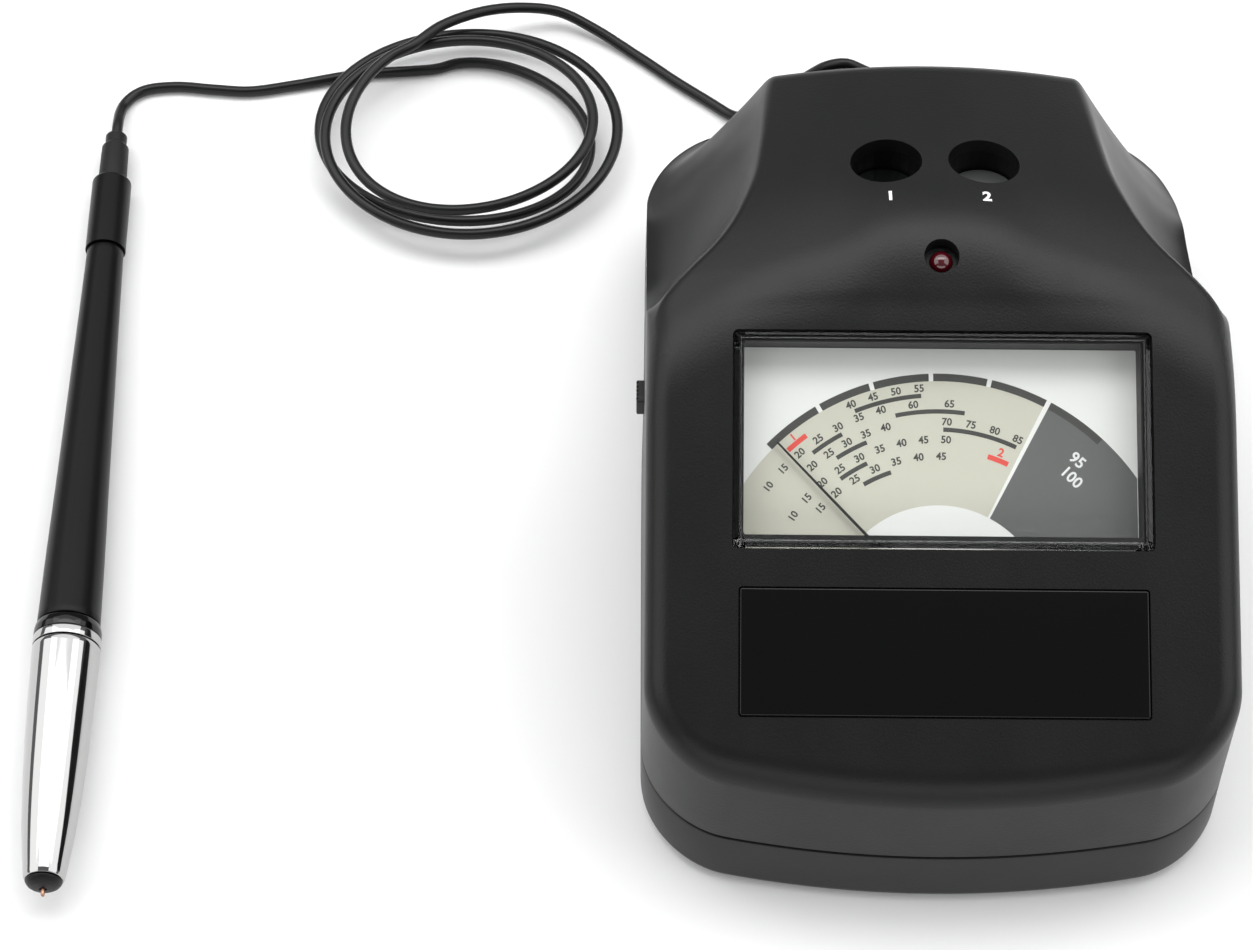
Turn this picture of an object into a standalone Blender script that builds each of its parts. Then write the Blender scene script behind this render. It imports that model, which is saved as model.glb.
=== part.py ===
"""Bench gem tester: a console with an analogue meter, and a pen probe on a thin lead.

Every size below is in millimetres and is turned into metres where a mesh is made.
The console has its own frame: x = 0 on its mid plane, y = 0 at the front edge of the
base, z = 0 on the table. The probe lies to the left of it, tip to the front.
"""

import math

import bmesh
import bpy
import numpy as np
from mathutils import Matrix, Vector

MM = 0.001
GAP = 0.3               # air between neighbouring pieces
WALL = 2.2              # skin of both housings

# Console shell
HALF_WIDTH = 50.0       # where the side walls meet the top
LENGTH = 152.0
FRONT_Y = 4.1           # the front wall's top edge, set back by its lean
PANEL_SLOPE = 22.05     # degrees
PANEL_FRONT_Z = 29.8    # the panel's plane carried on to y = 0
FRONT_BOW = 7.0         # how far the front's corners stand back
FRONT_RADIUS = 14.0
REAR_RADIUS = 20.0
EDGE_FILLET = 4.5
FRONT_LEAN = 0.151      # run over rise
SIDE_LEAN = 0.012
REAR_LEAN = 0.05
PARTING_Z = 13.2
PARTING_GAP = 0.4
HOOD_Y = 89.0           # top of the arch on the panel
HOOD_Z = 66.0
HOOD_FALL = 0.262       # the hood's slope to the rear
HOOD_BEND = 22.4        # run behind the arch over which the hood's slope grows
REAR_EDGE_RUN = 13.0    # from the rear edge to the end
REAR_EDGE_Z = 58.5
REAR_DROP = 40.0        # height that the rear wall falls through to the base

# Base
FOOT_STAND = 1.4        # the base's underside over the table
FLOOR = 2.4
FOOT_RADIUS = 4.5
FOOT_SEAT = 0.7
FEET = ((41.0, 29.0), (36.0, LENGTH - 24.0))
SCREW_POINTS = ((42.0, 18.5), (34.0, LENGTH - 11.0))
SCREW_HEAD_RADIUS = 2.6
SCREW_HEAD_HEIGHT = 1.7
SCREW_SHANK_RADIUS = 1.4
SCREW_LENGTH = 20.0
SCREW_SEAT_Z = 5.0
BOSS_WALL = 1.2

# Batteries
CELL_RADIUS = 7.2
CELL_BODY = 49.2
CELL_BUTTON = 1.0
CELL_COUNT = 4
CELL_PITCH = 15.0
BAY_FRONT_Y = 38.0
BAY_WALL = 1.5
CONTACT_PLATE = 0.5
CONTACT_SPRING = 1.9
DOOR_THICKNESS = 1.3
DOOR_TONGUE = 1.3
DOOR_TONGUE_THICKNESS = 0.5

# Meter, in the panel's own frame: x across, y up the slope, z out of the panel
WINDOW_Y = 60.17
WINDOW_WIDTH = 70.2
WINDOW_HEIGHT = 36.8
WINDOW_TOP = 0.4
WINDOW_THICKNESS = 1.6
WINDOW_SKIRT = 1.4
WINDOW_BEVEL = 1.2
CASE_WIDTH = 73.2
CASE_TOP_Y = 19.9
CASE_BOTTOM_Y = -45.5
CASE_WALL = 1.4
CASE_FLOOR_Z = -21.0
WINDOW_SEAT_Z = -5.7
DIAL_Z = -7.6
DIAL_THICKNESS = 0.8
PIVOT_Y = -28.1
NEEDLE_RADIUS = 39.4
NEEDLE_TAIL = 6.5
NEEDLE_REST = 44.0      # degrees left of straight up
NEEDLE_Z = -6.6
NEEDLE_THICKNESS = 0.5
LABEL_WIDTH = 68.1
LABEL_HEIGHT = 21.3
LABEL_Y = -36.04
LABEL_THICKNESS = 1.2
LABEL_PROUD = 0.25
LABEL_CORNER = 0.8

# Movement behind the dial
CORE_RADIUS = 4.6
CORE_LENGTH = 6.4
CORE_Z = -13.4          # middle of the core
COIL_WINDING = 0.9
YOKE_THICKNESS = 4.0
SHAFT_RADIUS = 0.5

# Hood: its wells and its lamp
WELL_X = 8.5
WELL_FROM_LAMP = 13.4   # and a share of the hood's own length
WELL_RUN = 8.9
WELL_TILT = 14.7        # degrees that the hood falls to the rear there
WELL_RADIUS = 6.24
WELL_DEPTH = 6.8
WELL_WALL = 2.0
DISC_THICKNESS = 1.0
LAMP_Y = HOOD_Y + 0.6
LAMP_HOLE_RADIUS = 3.0
LAMP_RADIUS = 1.75

# Board and controls
BOARD_Z = 16.0
BOARD_THICKNESS = 1.6
BOARD_HALF_WIDTH = 40.0
BOARD_CLEARANCE = 4.0   # from the battery bay's wall to the board
BOARD_REAR_Y = LENGTH - 16.0
BOARD_SCREW_X = 34.0
SWITCH_Y = HOOD_Y - 6.7
SWITCH_Z = 32.0
SWITCH_KNOB_LENGTH = 4.6
SWITCH_KNOB_HEIGHT = 4.4
SWITCH_PROUD = 1.4
SWITCH_TRAVEL = 3.0
CONTROL_DEPTH = 6.0
TRIMMER_Y = HOOD_Y - 6.0
TRIMMER_Z = 32.0
TRIMMER_RADIUS = 2.5
SOCKET_X = 4.0
SOCKET_Z = 22.4
SOCKET_FACE_Y = LENGTH + 0.8
SOCKET_BUSH_RADIUS = 3.6
JACK_RADIUS = 1.75

# Probe, measured along its own axis from the pin's point
PROBE_X = -152.1        # the pin's point, in the console's frame
PROBE_Y = -3.9
PROBE_TURN = 0.99       # degrees, tail to the left
PIN_RADIUS = 0.38
PIN_STROKE = 1.0
CAP_FRONT = 1.4
CAP_REAR = 5.2
CAP_RADIUS = 3.4
CAP_MOUTH_RADIUS = 0.9
NOSE_REAR = 48.3
NOSE_RADIUS = 6.07
# Each row: share of the nose's length, and radius there.
NOSE_FORM = ((0.302, 4.83), (0.455, 5.32), (0.621, 5.66), (0.807, 5.92))
RING_REAR = NOSE_REAR + 4.5
BARREL_FRONT_RADIUS = 5.65
COLLAR_REAR = 153.3
BARREL_REAR = COLLAR_REAR - 16.7
BARREL_REAR_RADIUS = 3.5
# Each row: share of the barrel's length, and radius there.
BARREL_FORM = ((0.043, 5.57), (0.192, 5.28), (0.347, 4.88), (0.502, 4.54), (0.669, 4.18), (0.832, 3.82))
COLLAR_RADIUS = 3.85
COLLAR_REAR_RADIUS = 3.75
BOOT_REAR = COLLAR_REAR + 9.0
BOOT_RADIUS = 2.65
BOOT_END_REAR = BOOT_REAR + 2.6
BOOT_END_RADIUS = 2.1
PROBE_WALL = 1.1

# Lead
LEAD_DIAMETER = 2.15
COIL_CLIMB = 3.0        # rise of the laid coil in each turn
COIL_TURNS = 3
COIL_STEPS = 24         # points in each turn
ROUND_SEGMENTS = 24

SLOPE = math.tan(math.radians(PANEL_SLOPE))
BAY_HALF_WIDTH = (CELL_COUNT - 1) / 2 * CELL_PITCH + CELL_RADIUS + 0.5
BAY_LENGTH = CELL_BODY + CELL_BUTTON + 2 * CONTACT_PLATE + CONTACT_SPRING + 4 * GAP
BOARD_FRONT_Y = BAY_FRONT_Y + BAY_LENGTH + BAY_WALL + BOARD_CLEARANCE
BOARD_DEPTH = BOARD_REAR_Y - BOARD_FRONT_Y
BOARD_SCREWS = ((BOARD_SCREW_X, BOARD_FRONT_Y + 0.47 * BOARD_DEPTH),)
DOOR_Z = FOOT_STAND + 0.1
DOOR_TOP_Z = DOOR_Z + DOOR_THICKNESS
CELL_Z = DOOR_TOP_Z + 0.5 + CELL_RADIUS
BAY_TOP_Z = CELL_Z + CELL_RADIUS + GAP
LEAD_RADIUS = LEAD_DIAMETER / 2
LEAD_Z = LEAD_RADIUS + 0.06
PROBE_TAPER = (NOSE_RADIUS - COLLAR_REAR_RADIUS) / (COLLAR_REAR - RING_REAR)
PROBE_PITCH = math.degrees(math.atan(PROBE_TAPER))


def material(name, colour, roughness, metallic=0.0, alpha=1.0):
    """Return a new material with one Principled shader."""
    result = bpy.data.materials.new(name)
    result.use_nodes = True
    shader = result.node_tree.nodes["Principled BSDF"]
    shader.inputs["Base Color"].default_value = (*colour, 1.0)
    shader.inputs["Roughness"].default_value = roughness
    shader.inputs["Metallic"].default_value = metallic
    shader.inputs["Alpha"].default_value = alpha
    result.diffuse_color = (*colour, alpha)
    return result


def frame(name, place, turns=(0.0, 0.0, 0.0), parent=None):
    """Return an empty at a place in millimetres, turned by degrees about X, Y and Z."""
    result = bpy.data.objects.new(name, None)
    bpy.context.collection.objects.link(result)
    result.empty_display_size = 0.01
    result.location = Vector(place) * MM
    result.rotation_euler = [math.radians(turn) for turn in turns]
    result.parent = parent
    return result


def solid(name, shape, mat, parent=None, place=(0.0, 0.0, 0.0), turns=(0.0, 0.0, 0.0), smooth=None):
    """Return an object whose mesh is a shape: its points in millimetres, and its faces."""
    points, faces = shape
    mesh = bpy.data.meshes.new(name)
    mesh.from_pydata([tuple(float(v) * MM for v in point) for point in points], [], faces)
    work = bmesh.new()
    work.from_mesh(mesh)
    bmesh.ops.remove_doubles(work, verts=work.verts, dist=1e-7)
    bmesh.ops.recalc_face_normals(work, faces=work.faces)
    work.to_mesh(mesh)
    work.free()
    if smooth is not None:
        mesh.shade_smooth()
        mesh.set_sharp_from_angle(angle=math.radians(smooth))
    result = bpy.data.objects.new(name, mesh)
    bpy.context.collection.objects.link(result)
    result.location = Vector(place) * MM
    result.rotation_euler = [math.radians(turn) for turn in turns]
    result.parent = parent
    if mat is not None:
        mesh.materials.append(mat)
    return result


def shape_with(obj, tool, operation):
    """Cut, join or intersect an object with a tool, which is then only a guide."""
    tool.hide_render = True
    tool.display_type = "WIRE"
    step = obj.modifiers.new(f"{operation.lower()} {tool.name}", "BOOLEAN")
    step.solver = "EXACT"
    step.operation = operation
    step.object = tool
    return obj


def cut(obj, name, shape, parent=None, place=(0.0, 0.0, 0.0), turns=(0.0, 0.0, 0.0)):
    """Cut a shape out of an object."""
    tool = solid(name, shape, None, parent, place, turns)
    return shape_with(obj, tool, "DIFFERENCE")


def join(obj, name, shape, parent=None, place=(0.0, 0.0, 0.0), turns=(0.0, 0.0, 0.0)):
    """Join a shape to an object, as one body."""
    tool = solid(name, shape, None, parent, place, turns)
    return shape_with(obj, tool, "UNION")


def stack(loops):
    """Return the closed skin over loops of equal length, with a flat face on each end."""
    count = len(loops[0])
    points = [point for loop in loops for point in loop]
    faces = [tuple(range(count))[::-1]]
    for level in range(len(loops) - 1):
        low = level * count
        for i in range(count):
            j = (i + 1) % count
            faces.append((low + i, low + j, low + count + j, low + count + i))
    top = (len(loops) - 1) * count
    faces.append(tuple(range(top, top + count)))
    return points, faces


def together(*shapes):
    """Return several shapes as the bodies of one mesh."""
    points, faces = [], []
    for shape in shapes:
        start = len(points)
        points += list(shape[0])
        faces += [tuple(start + index for index in face) for face in shape[1]]
    return points, faces


def moved(shape, place):
    """Return a shape moved by a vector."""
    return [tuple(np.add(point, place)) for point in shape[0]], shape[1]


def turned(shape, matrix):
    """Return a shape turned by a 3 by 3 matrix."""
    return [tuple(matrix @ Vector(point)) for point in shape[0]], shape[1]


def box(x, y, z):
    """Return a box between pairs of limits."""
    loop = [(x[0], y[0]), (x[1], y[0]), (x[1], y[1]), (x[0], y[1])]
    return stack([[(*point, z[0]) for point in loop], [(*point, z[1]) for point in loop]])


def rounded(width, height, radius, steps=4):
    """Return the outline of a rectangle with round corners, about its middle."""
    outline = []
    for corner, (sx, sy) in enumerate(((1, 1), (-1, 1), (-1, -1), (1, -1))):
        for step in range(steps + 1):
            angle = math.radians(90 * (corner + step / steps))
            outline.append((sx * (width / 2 - radius) + radius * math.cos(angle),
                            sy * (height / 2 - radius) + radius * math.sin(angle)))
    return outline


def slab(outline, z0, z1, bevel=0.0):
    """Return a plate over an outline, with its top edge drawn in by a bevel."""
    loops = [[(x, y, z0) for x, y in outline], [(x, y, z1 - bevel) for x, y in outline]]
    if bevel:
        span_x = max(x for x, _ in outline)
        span_y = max(y for _, y in outline)
        loops.append([(x * (1 - bevel / span_x), y * (1 - bevel / span_y), z1) for x, y in outline])
    return stack(loops)


def lathe(profile, segments=ROUND_SEGMENTS):
    """Return the body made by turning a closed profile of (radius, height) about Z."""
    points, faces = [], []
    rings = []
    for radius, height in profile:
        if radius < 1e-9:
            rings.append([len(points)] * segments)
            points.append((0.0, 0.0, height))
            continue
        rings.append(list(range(len(points), len(points) + segments)))
        for step in range(segments):
            angle = 2 * math.pi * step / segments
            points.append((radius * math.cos(angle), radius * math.sin(angle), height))
    for ring, following in zip(rings, rings[1:] + rings[:1]):
        for i in range(segments):
            j = (i + 1) % segments
            face = list(dict.fromkeys((ring[i], ring[j], following[j], following[i])))
            if len(face) > 2:
                faces.append(tuple(face))
    return points, faces


def rod(radius, z0, z1, segments=ROUND_SEGMENTS):
    """Return a cylinder along Z."""
    return lathe([(0.0, z0), (radius, z0), (radius, z1), (0.0, z1)], segments)


def tube(outer, inner, z0, z1, segments=ROUND_SEGMENTS):
    """Return a straight tube along Z."""
    return lathe([(inner, z0), (outer, z0), (outer, z1), (inner, z1)], segments)


ALONG_X = Matrix(((0.0, 0.0, 1.0), (0.0, 1.0, 0.0), (-1.0, 0.0, 0.0)))
ALONG_Y = Matrix(((1.0, 0.0, 0.0), (0.0, 0.0, 1.0), (0.0, -1.0, 0.0)))


# The shell's form. Lists of (y, value) are read as smooth curves.
CREASE_X = ((0, 45.9), (60, 45.9), (74, 46.6), (79, 48.3), (82, 48.4), (85, 47.2), (88, 45.1),
            (91, 42.6), (95, 39.0), (99.3, 36.1), (105.6, 33.4), (112.6, 31.4), (121, 30.2),
            (129, 29.4), (136, 28.6), (140, 27.9), (146, 27.2), (152, 26.4))
SHOULDER_Z = ((79, 57.3), (82, 55.6), (86, 51.5), (91, 44.8), (97, 37.4), (104, 31.8), (113, 28.1),
              (120, 25.8), (126.6, 24.0), (132, 21.0), (137, 19.0), (142, 18.4), (152, 18.2))
ROW_Y = (22, 30, 40, 50, 60, 68, 74, 78, 81, 84, 87, 90, 93, 96, 100, 104.5, 109, 114, 119, 124,
         129)
REAR_ROW_Y = (132, 135.5, 138.5, 141, 143.5, 146, 148.3, 150.2, 151.5, 152)
INNER_COLUMNS = 6
OUTER_COLUMNS = 5
# The lists are drawn for the place that they end at, and the hood's share follows LENGTH.
REAR_SHARE = (LENGTH - HOOD_Y) / (CREASE_X[-1][0] - HOOD_Y)
REAR_EDGE_Y = LENGTH - REAR_EDGE_RUN * REAR_SHARE
WELL_Y = LAMP_Y + WELL_FROM_LAMP + WELL_RUN * REAR_SHARE


def curve(knots, y):
    """Read a smooth curve through knots, with each tangent from the knots beside it."""
    at, value = np.array(knots, dtype=float).T
    tangent = np.gradient(value, at)
    y = np.clip(y, at[0], at[-1])
    i = np.clip(np.searchsorted(at, y) - 1, 0, len(at) - 2)
    step = at[i + 1] - at[i]
    t = (y - at[i]) / step
    low = (2 * t**3 - 3 * t**2 + 1) * value[i] + (t**3 - 2 * t**2 + t) * step * tangent[i]
    high = (3 * t**2 - 2 * t**3) * value[i + 1] + (t**3 - t**2) * step * tangent[i + 1]
    return low + high


def ease(t):
    """Return a step from 0 to 1 with a level start and end."""
    t = np.clip(t, 0.0, 1.0)
    return t * t * (3 - 2 * t)


def drawn(y):
    """Return the place on the drawn length that answers to a place on the console."""
    return np.where(y > HOOD_Y, HOOD_Y + (y - HOOD_Y) / REAR_SHARE, y)


def lower_of(a, b, radius):
    """Return the lower of two heights, with the corner between them rounded."""
    share = np.clip(0.5 + 0.5 * (b - a) / radius, 0.0, 1.0)
    return b * (1 - share) + a * share - radius * share * (1 - share)


def hood_height(x, y):
    """Return the hood's top: a crown that falls to the rear, with a soft swell at the arch."""
    run = np.maximum(y - HOOD_Y, 0.0)
    bend = HOOD_BEND * REAR_SHARE
    z = HOOD_Z - HOOD_FALL / (2 * bend) * np.minimum(run, bend)**2
    run = np.maximum(run - bend, 0.0)
    z = z - HOOD_FALL * run - 0.0011 * run**2
    crown = 0.003 + 0.0015 * np.clip((y - HOOD_Y) / 50, 0.0, 1.0)
    swell = 1.5 * np.exp(-(x / 14)**4) * ease(1 - (y - HOOD_Y - 6) / 22)
    return z - crown * x**2 + swell


def top_height(x, y):
    """Return the height of the panel, the hood or the rear wall, whichever is lowest."""
    panel = PANEL_FRONT_Z + SLOPE * y
    rear = REAR_EDGE_Z - REAR_DROP * (y - REAR_EDGE_Y) / (LENGTH - REAR_EDGE_Y) - 0.00405 * x**2
    return lower_of(lower_of(panel, hood_height(x, y), 3.0), rear, 5.0)


def half_width(y):
    """Return the plan's half width at the wall's top, with round corners front and rear."""
    width = np.full_like(y, HALF_WIDTH)
    front = np.clip(FRONT_RADIUS - (y - FRONT_Y), 0.0, FRONT_RADIUS)
    width = width - FRONT_RADIUS + np.sqrt(FRONT_RADIUS**2 - front**2)
    rear = np.clip(REAR_RADIUS - (LENGTH - y), 0.0, REAR_RADIUS)
    return width - REAR_RADIUS + np.sqrt(REAR_RADIUS**2 - rear**2)


def shell_rows():
    """Return the y of each cross section, closer together where the form turns."""
    turn = np.linspace(0.0, np.pi / 2, 6)
    front = FRONT_Y + FRONT_RADIUS * (1 - np.cos(turn))
    rows = np.array(ROW_Y + REAR_ROW_Y, dtype=float)
    return np.concatenate([front, np.where(rows > HOOD_Y, HOOD_Y + (rows - HOOD_Y) * REAR_SHARE, rows)])


def shell_top(rows, inner, outer):
    """Return the top skin's right half as a grid of points: cross sections by columns."""
    across = np.linspace(0.0, 1.0, inner + 1)
    beyond = (1 - np.cos(np.pi * np.linspace(0.0, 1.0, outer + 1)[1:])) / 2
    sections = []
    for y in rows:
        width = float(half_width(np.array([y]))[0])
        crease = float(curve(CREASE_X, drawn(y)))
        inset = FRONT_RADIUS - EDGE_FILLET
        if y < HOOD_Y - 15:
            corner = max(FRONT_RADIUS - (y - FRONT_Y), 0.0)
            crease = HALF_WIDTH - FRONT_RADIUS + math.sqrt(max(inset**2 - corner**2, 0.0))
        crease = min(crease, width)
        x = np.concatenate([crease * across, crease + (width - crease) * beyond])
        bowed = y + FRONT_BOW * (x / HALF_WIDTH)**2 * np.clip(1 - (y - FRONT_Y) / 70, 0, 1)**1.5
        level = top_height(x, bowed)
        corner_x = HALF_WIDTH - FRONT_RADIUS
        depth = y - FRONT_Y
        radial = FRONT_RADIUS - np.hypot(np.maximum(x - corner_x, 0.0), FRONT_RADIUS - depth)
        edge = np.where((x > corner_x) & (depth < FRONT_RADIUS), radial, np.minimum(width - x, depth))
        edge = np.clip(edge, 0.0, EDGE_FILLET)
        filleted = level - EDGE_FILLET + np.sqrt(EDGE_FILLET**2 - (EDGE_FILLET - edge)**2)
        shoulder = float(curve(SHOULDER_Z, drawn(y)))
        crest = float(top_height(np.array([crease]), np.array([y]))[0])
        share = np.clip((x - crease) / max(width - crease, 1e-6), 0.0, 1.0)
        hollow = 1.9 - 0.65 * float(ease((drawn(y) - HOOD_Y - 17) / 30))
        scooped = np.where(x > crease, shoulder + (crest - shoulder) * (1 - share)**hollow, level)
        blend = float(ease((y - HOOD_Y + 11) / 16))
        sections.append(np.stack([x, bowed, (1 - blend) * filleted + blend * scooped], axis=1))
    return np.array(sections)


def whole(half):
    """Mirror a half grid to the left, sharing its middle column."""
    left = half[:, :0:-1].copy()
    left[..., 0] *= -1
    return np.concatenate([left, half], axis=1)


def rim_of(grid):
    """Return the grid's edge as a loop, counter-clockwise from above, without repeats."""
    last = grid.shape[1] - 1
    loop = np.concatenate([grid[0], grid[1:, last], grid[-1, last - 1::-1], grid[-2:0:-1, 0]])
    keep = np.linalg.norm(loop - np.roll(loop, 1, axis=0), axis=1) > 1e-6
    return loop[keep]


def outward(loop):
    """Return the unit normal in plan at each point of a loop."""
    along = np.roll(loop, -1, axis=0)[:, :2] - np.roll(loop, 1, axis=0)[:, :2]
    normal = np.stack([along[:, 1], -along[:, 0]], axis=1)
    return normal / np.linalg.norm(normal, axis=1, keepdims=True)


def wall_loop(rim, z, inset=0.0):
    """Follow the leaning wall from its top edge to a height, then step inwards."""
    normal = outward(rim)
    lean = (FRONT_LEAN * np.maximum(-normal[:, 1], 0.0)**2 + SIDE_LEAN * normal[:, 0]**2
            + REAR_LEAN * np.maximum(normal[:, 1], 0.0)**2)
    shift = (rim[:, 2] - z) * lean - inset
    plan = rim[:, :2] + normal * shift[:, None]
    return [(x, y, z) for x, y in plan]


def skin_body(grid, z):
    """Close the top skin down its leaning walls to a flat underside at a height."""
    rows, columns = grid.shape[:2]
    points = [tuple(point) for point in grid.reshape(-1, 3)]
    faces = []
    for i in range(rows - 1):
        for j in range(columns - 1):
            a = i * columns + j
            faces.append((a, a + 1, a + columns + 1, a + columns))
    rim = rim_of(grid)
    start = len(points)
    points += [tuple(point) for point in rim]
    points += wall_loop(rim, z)
    count = len(rim)
    for i in range(count):
        j = (i + 1) % count
        faces.append((start + i, start + count + i, start + count + j, start + j))
    faces.append(tuple(range(start + count, start + 2 * count))[::-1])
    return points, faces


def cavity_grid(outer, rows):
    """Return the underside of the top skin: the outer form rolled by a ball of the wall."""
    fine_rows = np.interp(np.linspace(0, len(rows) - 1, 4 * len(rows)), range(len(rows)), rows)
    fine = whole(shell_top(fine_rows, 40, 30)).reshape(-1, 3)
    inner = outer.copy()
    for section in inner:
        width = np.abs(section[-1, 0])
        section[:, 0] *= (width - WALL) / width
    span = LENGTH - FRONT_Y
    inner[..., 1] = FRONT_Y + WALL + (inner[..., 1] - FRONT_Y) * (span - 2 * WALL) / span
    for point in inner.reshape(-1, 3):
        near = fine[np.abs(fine[:, 1] - point[1]) < WALL]
        square = (near[:, 0] - point[0])**2 + (near[:, 1] - point[1])**2
        within = square < WALL**2
        point[2] = np.min(near[within, 2] - np.sqrt(WALL**2 - square[within]))
    return inner


def column(radius, x, y, z0, z1, segments=16):
    """Return a round post at a place on the console."""
    return moved(rod(radius, z0, z1, segments), (x, y, 0.0))


def both_sides(points):
    """Return points on the right half with their mirror images."""
    return [(side * x, y) for x, y in points for side in (1, -1)]


def copies(name, shape, places, mat, parent):
    """Make a like piece at each place, each one an object of its own."""
    for number, (x, y) in enumerate(places, 1):
        solid(f"{name}_{number}", shape, mat, parent, (x, y, 0.0), smooth=40)


class Workshop:
    """The materials, the frames that pieces stand in, and the shell's own grids."""

    def __init__(self):
        """Make the materials and measure the shell, so that the origin is known."""
        self.shell = material("shell_black", (0.045, 0.044, 0.042), 0.45)
        self.gloss = material("gloss_black", (0.012, 0.012, 0.013), 0.08)
        self.dark = material("dark_plastic", (0.02, 0.02, 0.02), 0.5)
        self.clear = material("clear_plastic", (0.9, 0.93, 0.93), 0.05, alpha=0.25)
        self.dial = material("dial_print", (0.82, 0.82, 0.79), 0.6)
        self.needle = material("needle_black", (0.02, 0.02, 0.02), 0.4)
        self.steel = material("steel", (0.6, 0.6, 0.6), 0.3, 1.0)
        self.copper = material("copper", (0.75, 0.38, 0.25), 0.3, 1.0)
        self.chrome = material("polished_steel", (0.8, 0.8, 0.8), 0.06, 1.0)
        self.rubber = material("rubber_black", (0.02, 0.02, 0.02), 0.8)
        self.lamp = material("lamp_red", (0.25, 0.01, 0.02), 0.1)
        self.glass = material("dark_glass", (0.01, 0.012, 0.012), 0.05)
        self.grey = material("grey_disc", (0.28, 0.28, 0.27), 0.45)
        self.board = material("board_green", (0.03, 0.16, 0.07), 0.4)
        self.brass = material("brass", (0.7, 0.52, 0.25), 0.3, 1.0)
        self.rows = shell_rows()
        self.top = whole(shell_top(self.rows, INNER_COLUMNS, OUTER_COLUMNS))
        self.under = cavity_grid(self.top, self.rows)
        foot = np.array(wall_loop(rim_of(self.top), FOOT_STAND + 0.8))
        left = PROBE_X - RING_REAR * math.sin(math.radians(PROBE_TURN)) - NOSE_RADIUS
        right = foot[:, 0].max()
        rear = max(foot[:, 1].max(), SOCKET_FACE_Y)
        middle = ((left + right) / 2, (PROBE_Y + rear) / 2)
        self.console = frame("console_frame", (-middle[0], -middle[1], 0.0))
        window_z = PANEL_FRONT_Z + SLOPE * WINDOW_Y
        self.panel = frame("panel_frame", (0.0, WINDOW_Y, window_z), (PANEL_SLOPE, 0.0, 0.0),
                           self.console)
        well_z = float(top_height(0.0, WELL_Y))
        self.well = frame("well_frame", (0.0, WELL_Y, well_z), (-WELL_TILT, 0.0, 0.0), self.console)
        tilt = math.radians(PROBE_PITCH)
        point_z = NOSE_RADIUS * math.cos(tilt) + RING_REAR * math.sin(tilt)
        self.probe = frame("probe_frame", (PROBE_X, PROBE_Y, point_z),
                           (-90.0 - PROBE_PITCH, 0.0, PROBE_TURN), self.console)

    def wall_x(self, y, z):
        """Return how far the side wall's outside stands from the mid plane at a place."""
        loop = np.array(wall_loop(rim_of(self.top), z))
        right = loop[(loop[:, 0] > 0) & (loop[:, 1] > FRONT_RADIUS) & (loop[:, 1] < LENGTH - REAR_RADIUS)]
        order = np.argsort(right[:, 1])
        return float(np.interp(y, right[order, 1], right[order, 0]))

    def under_skin(self, name):
        """Return a guide that fills the upper housing to a gap below its top skin."""
        lowered = self.under.copy()
        lowered[..., 2] -= GAP * 1.15
        return solid(name, skin_body(lowered, PARTING_Z), None, self.console)


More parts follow.
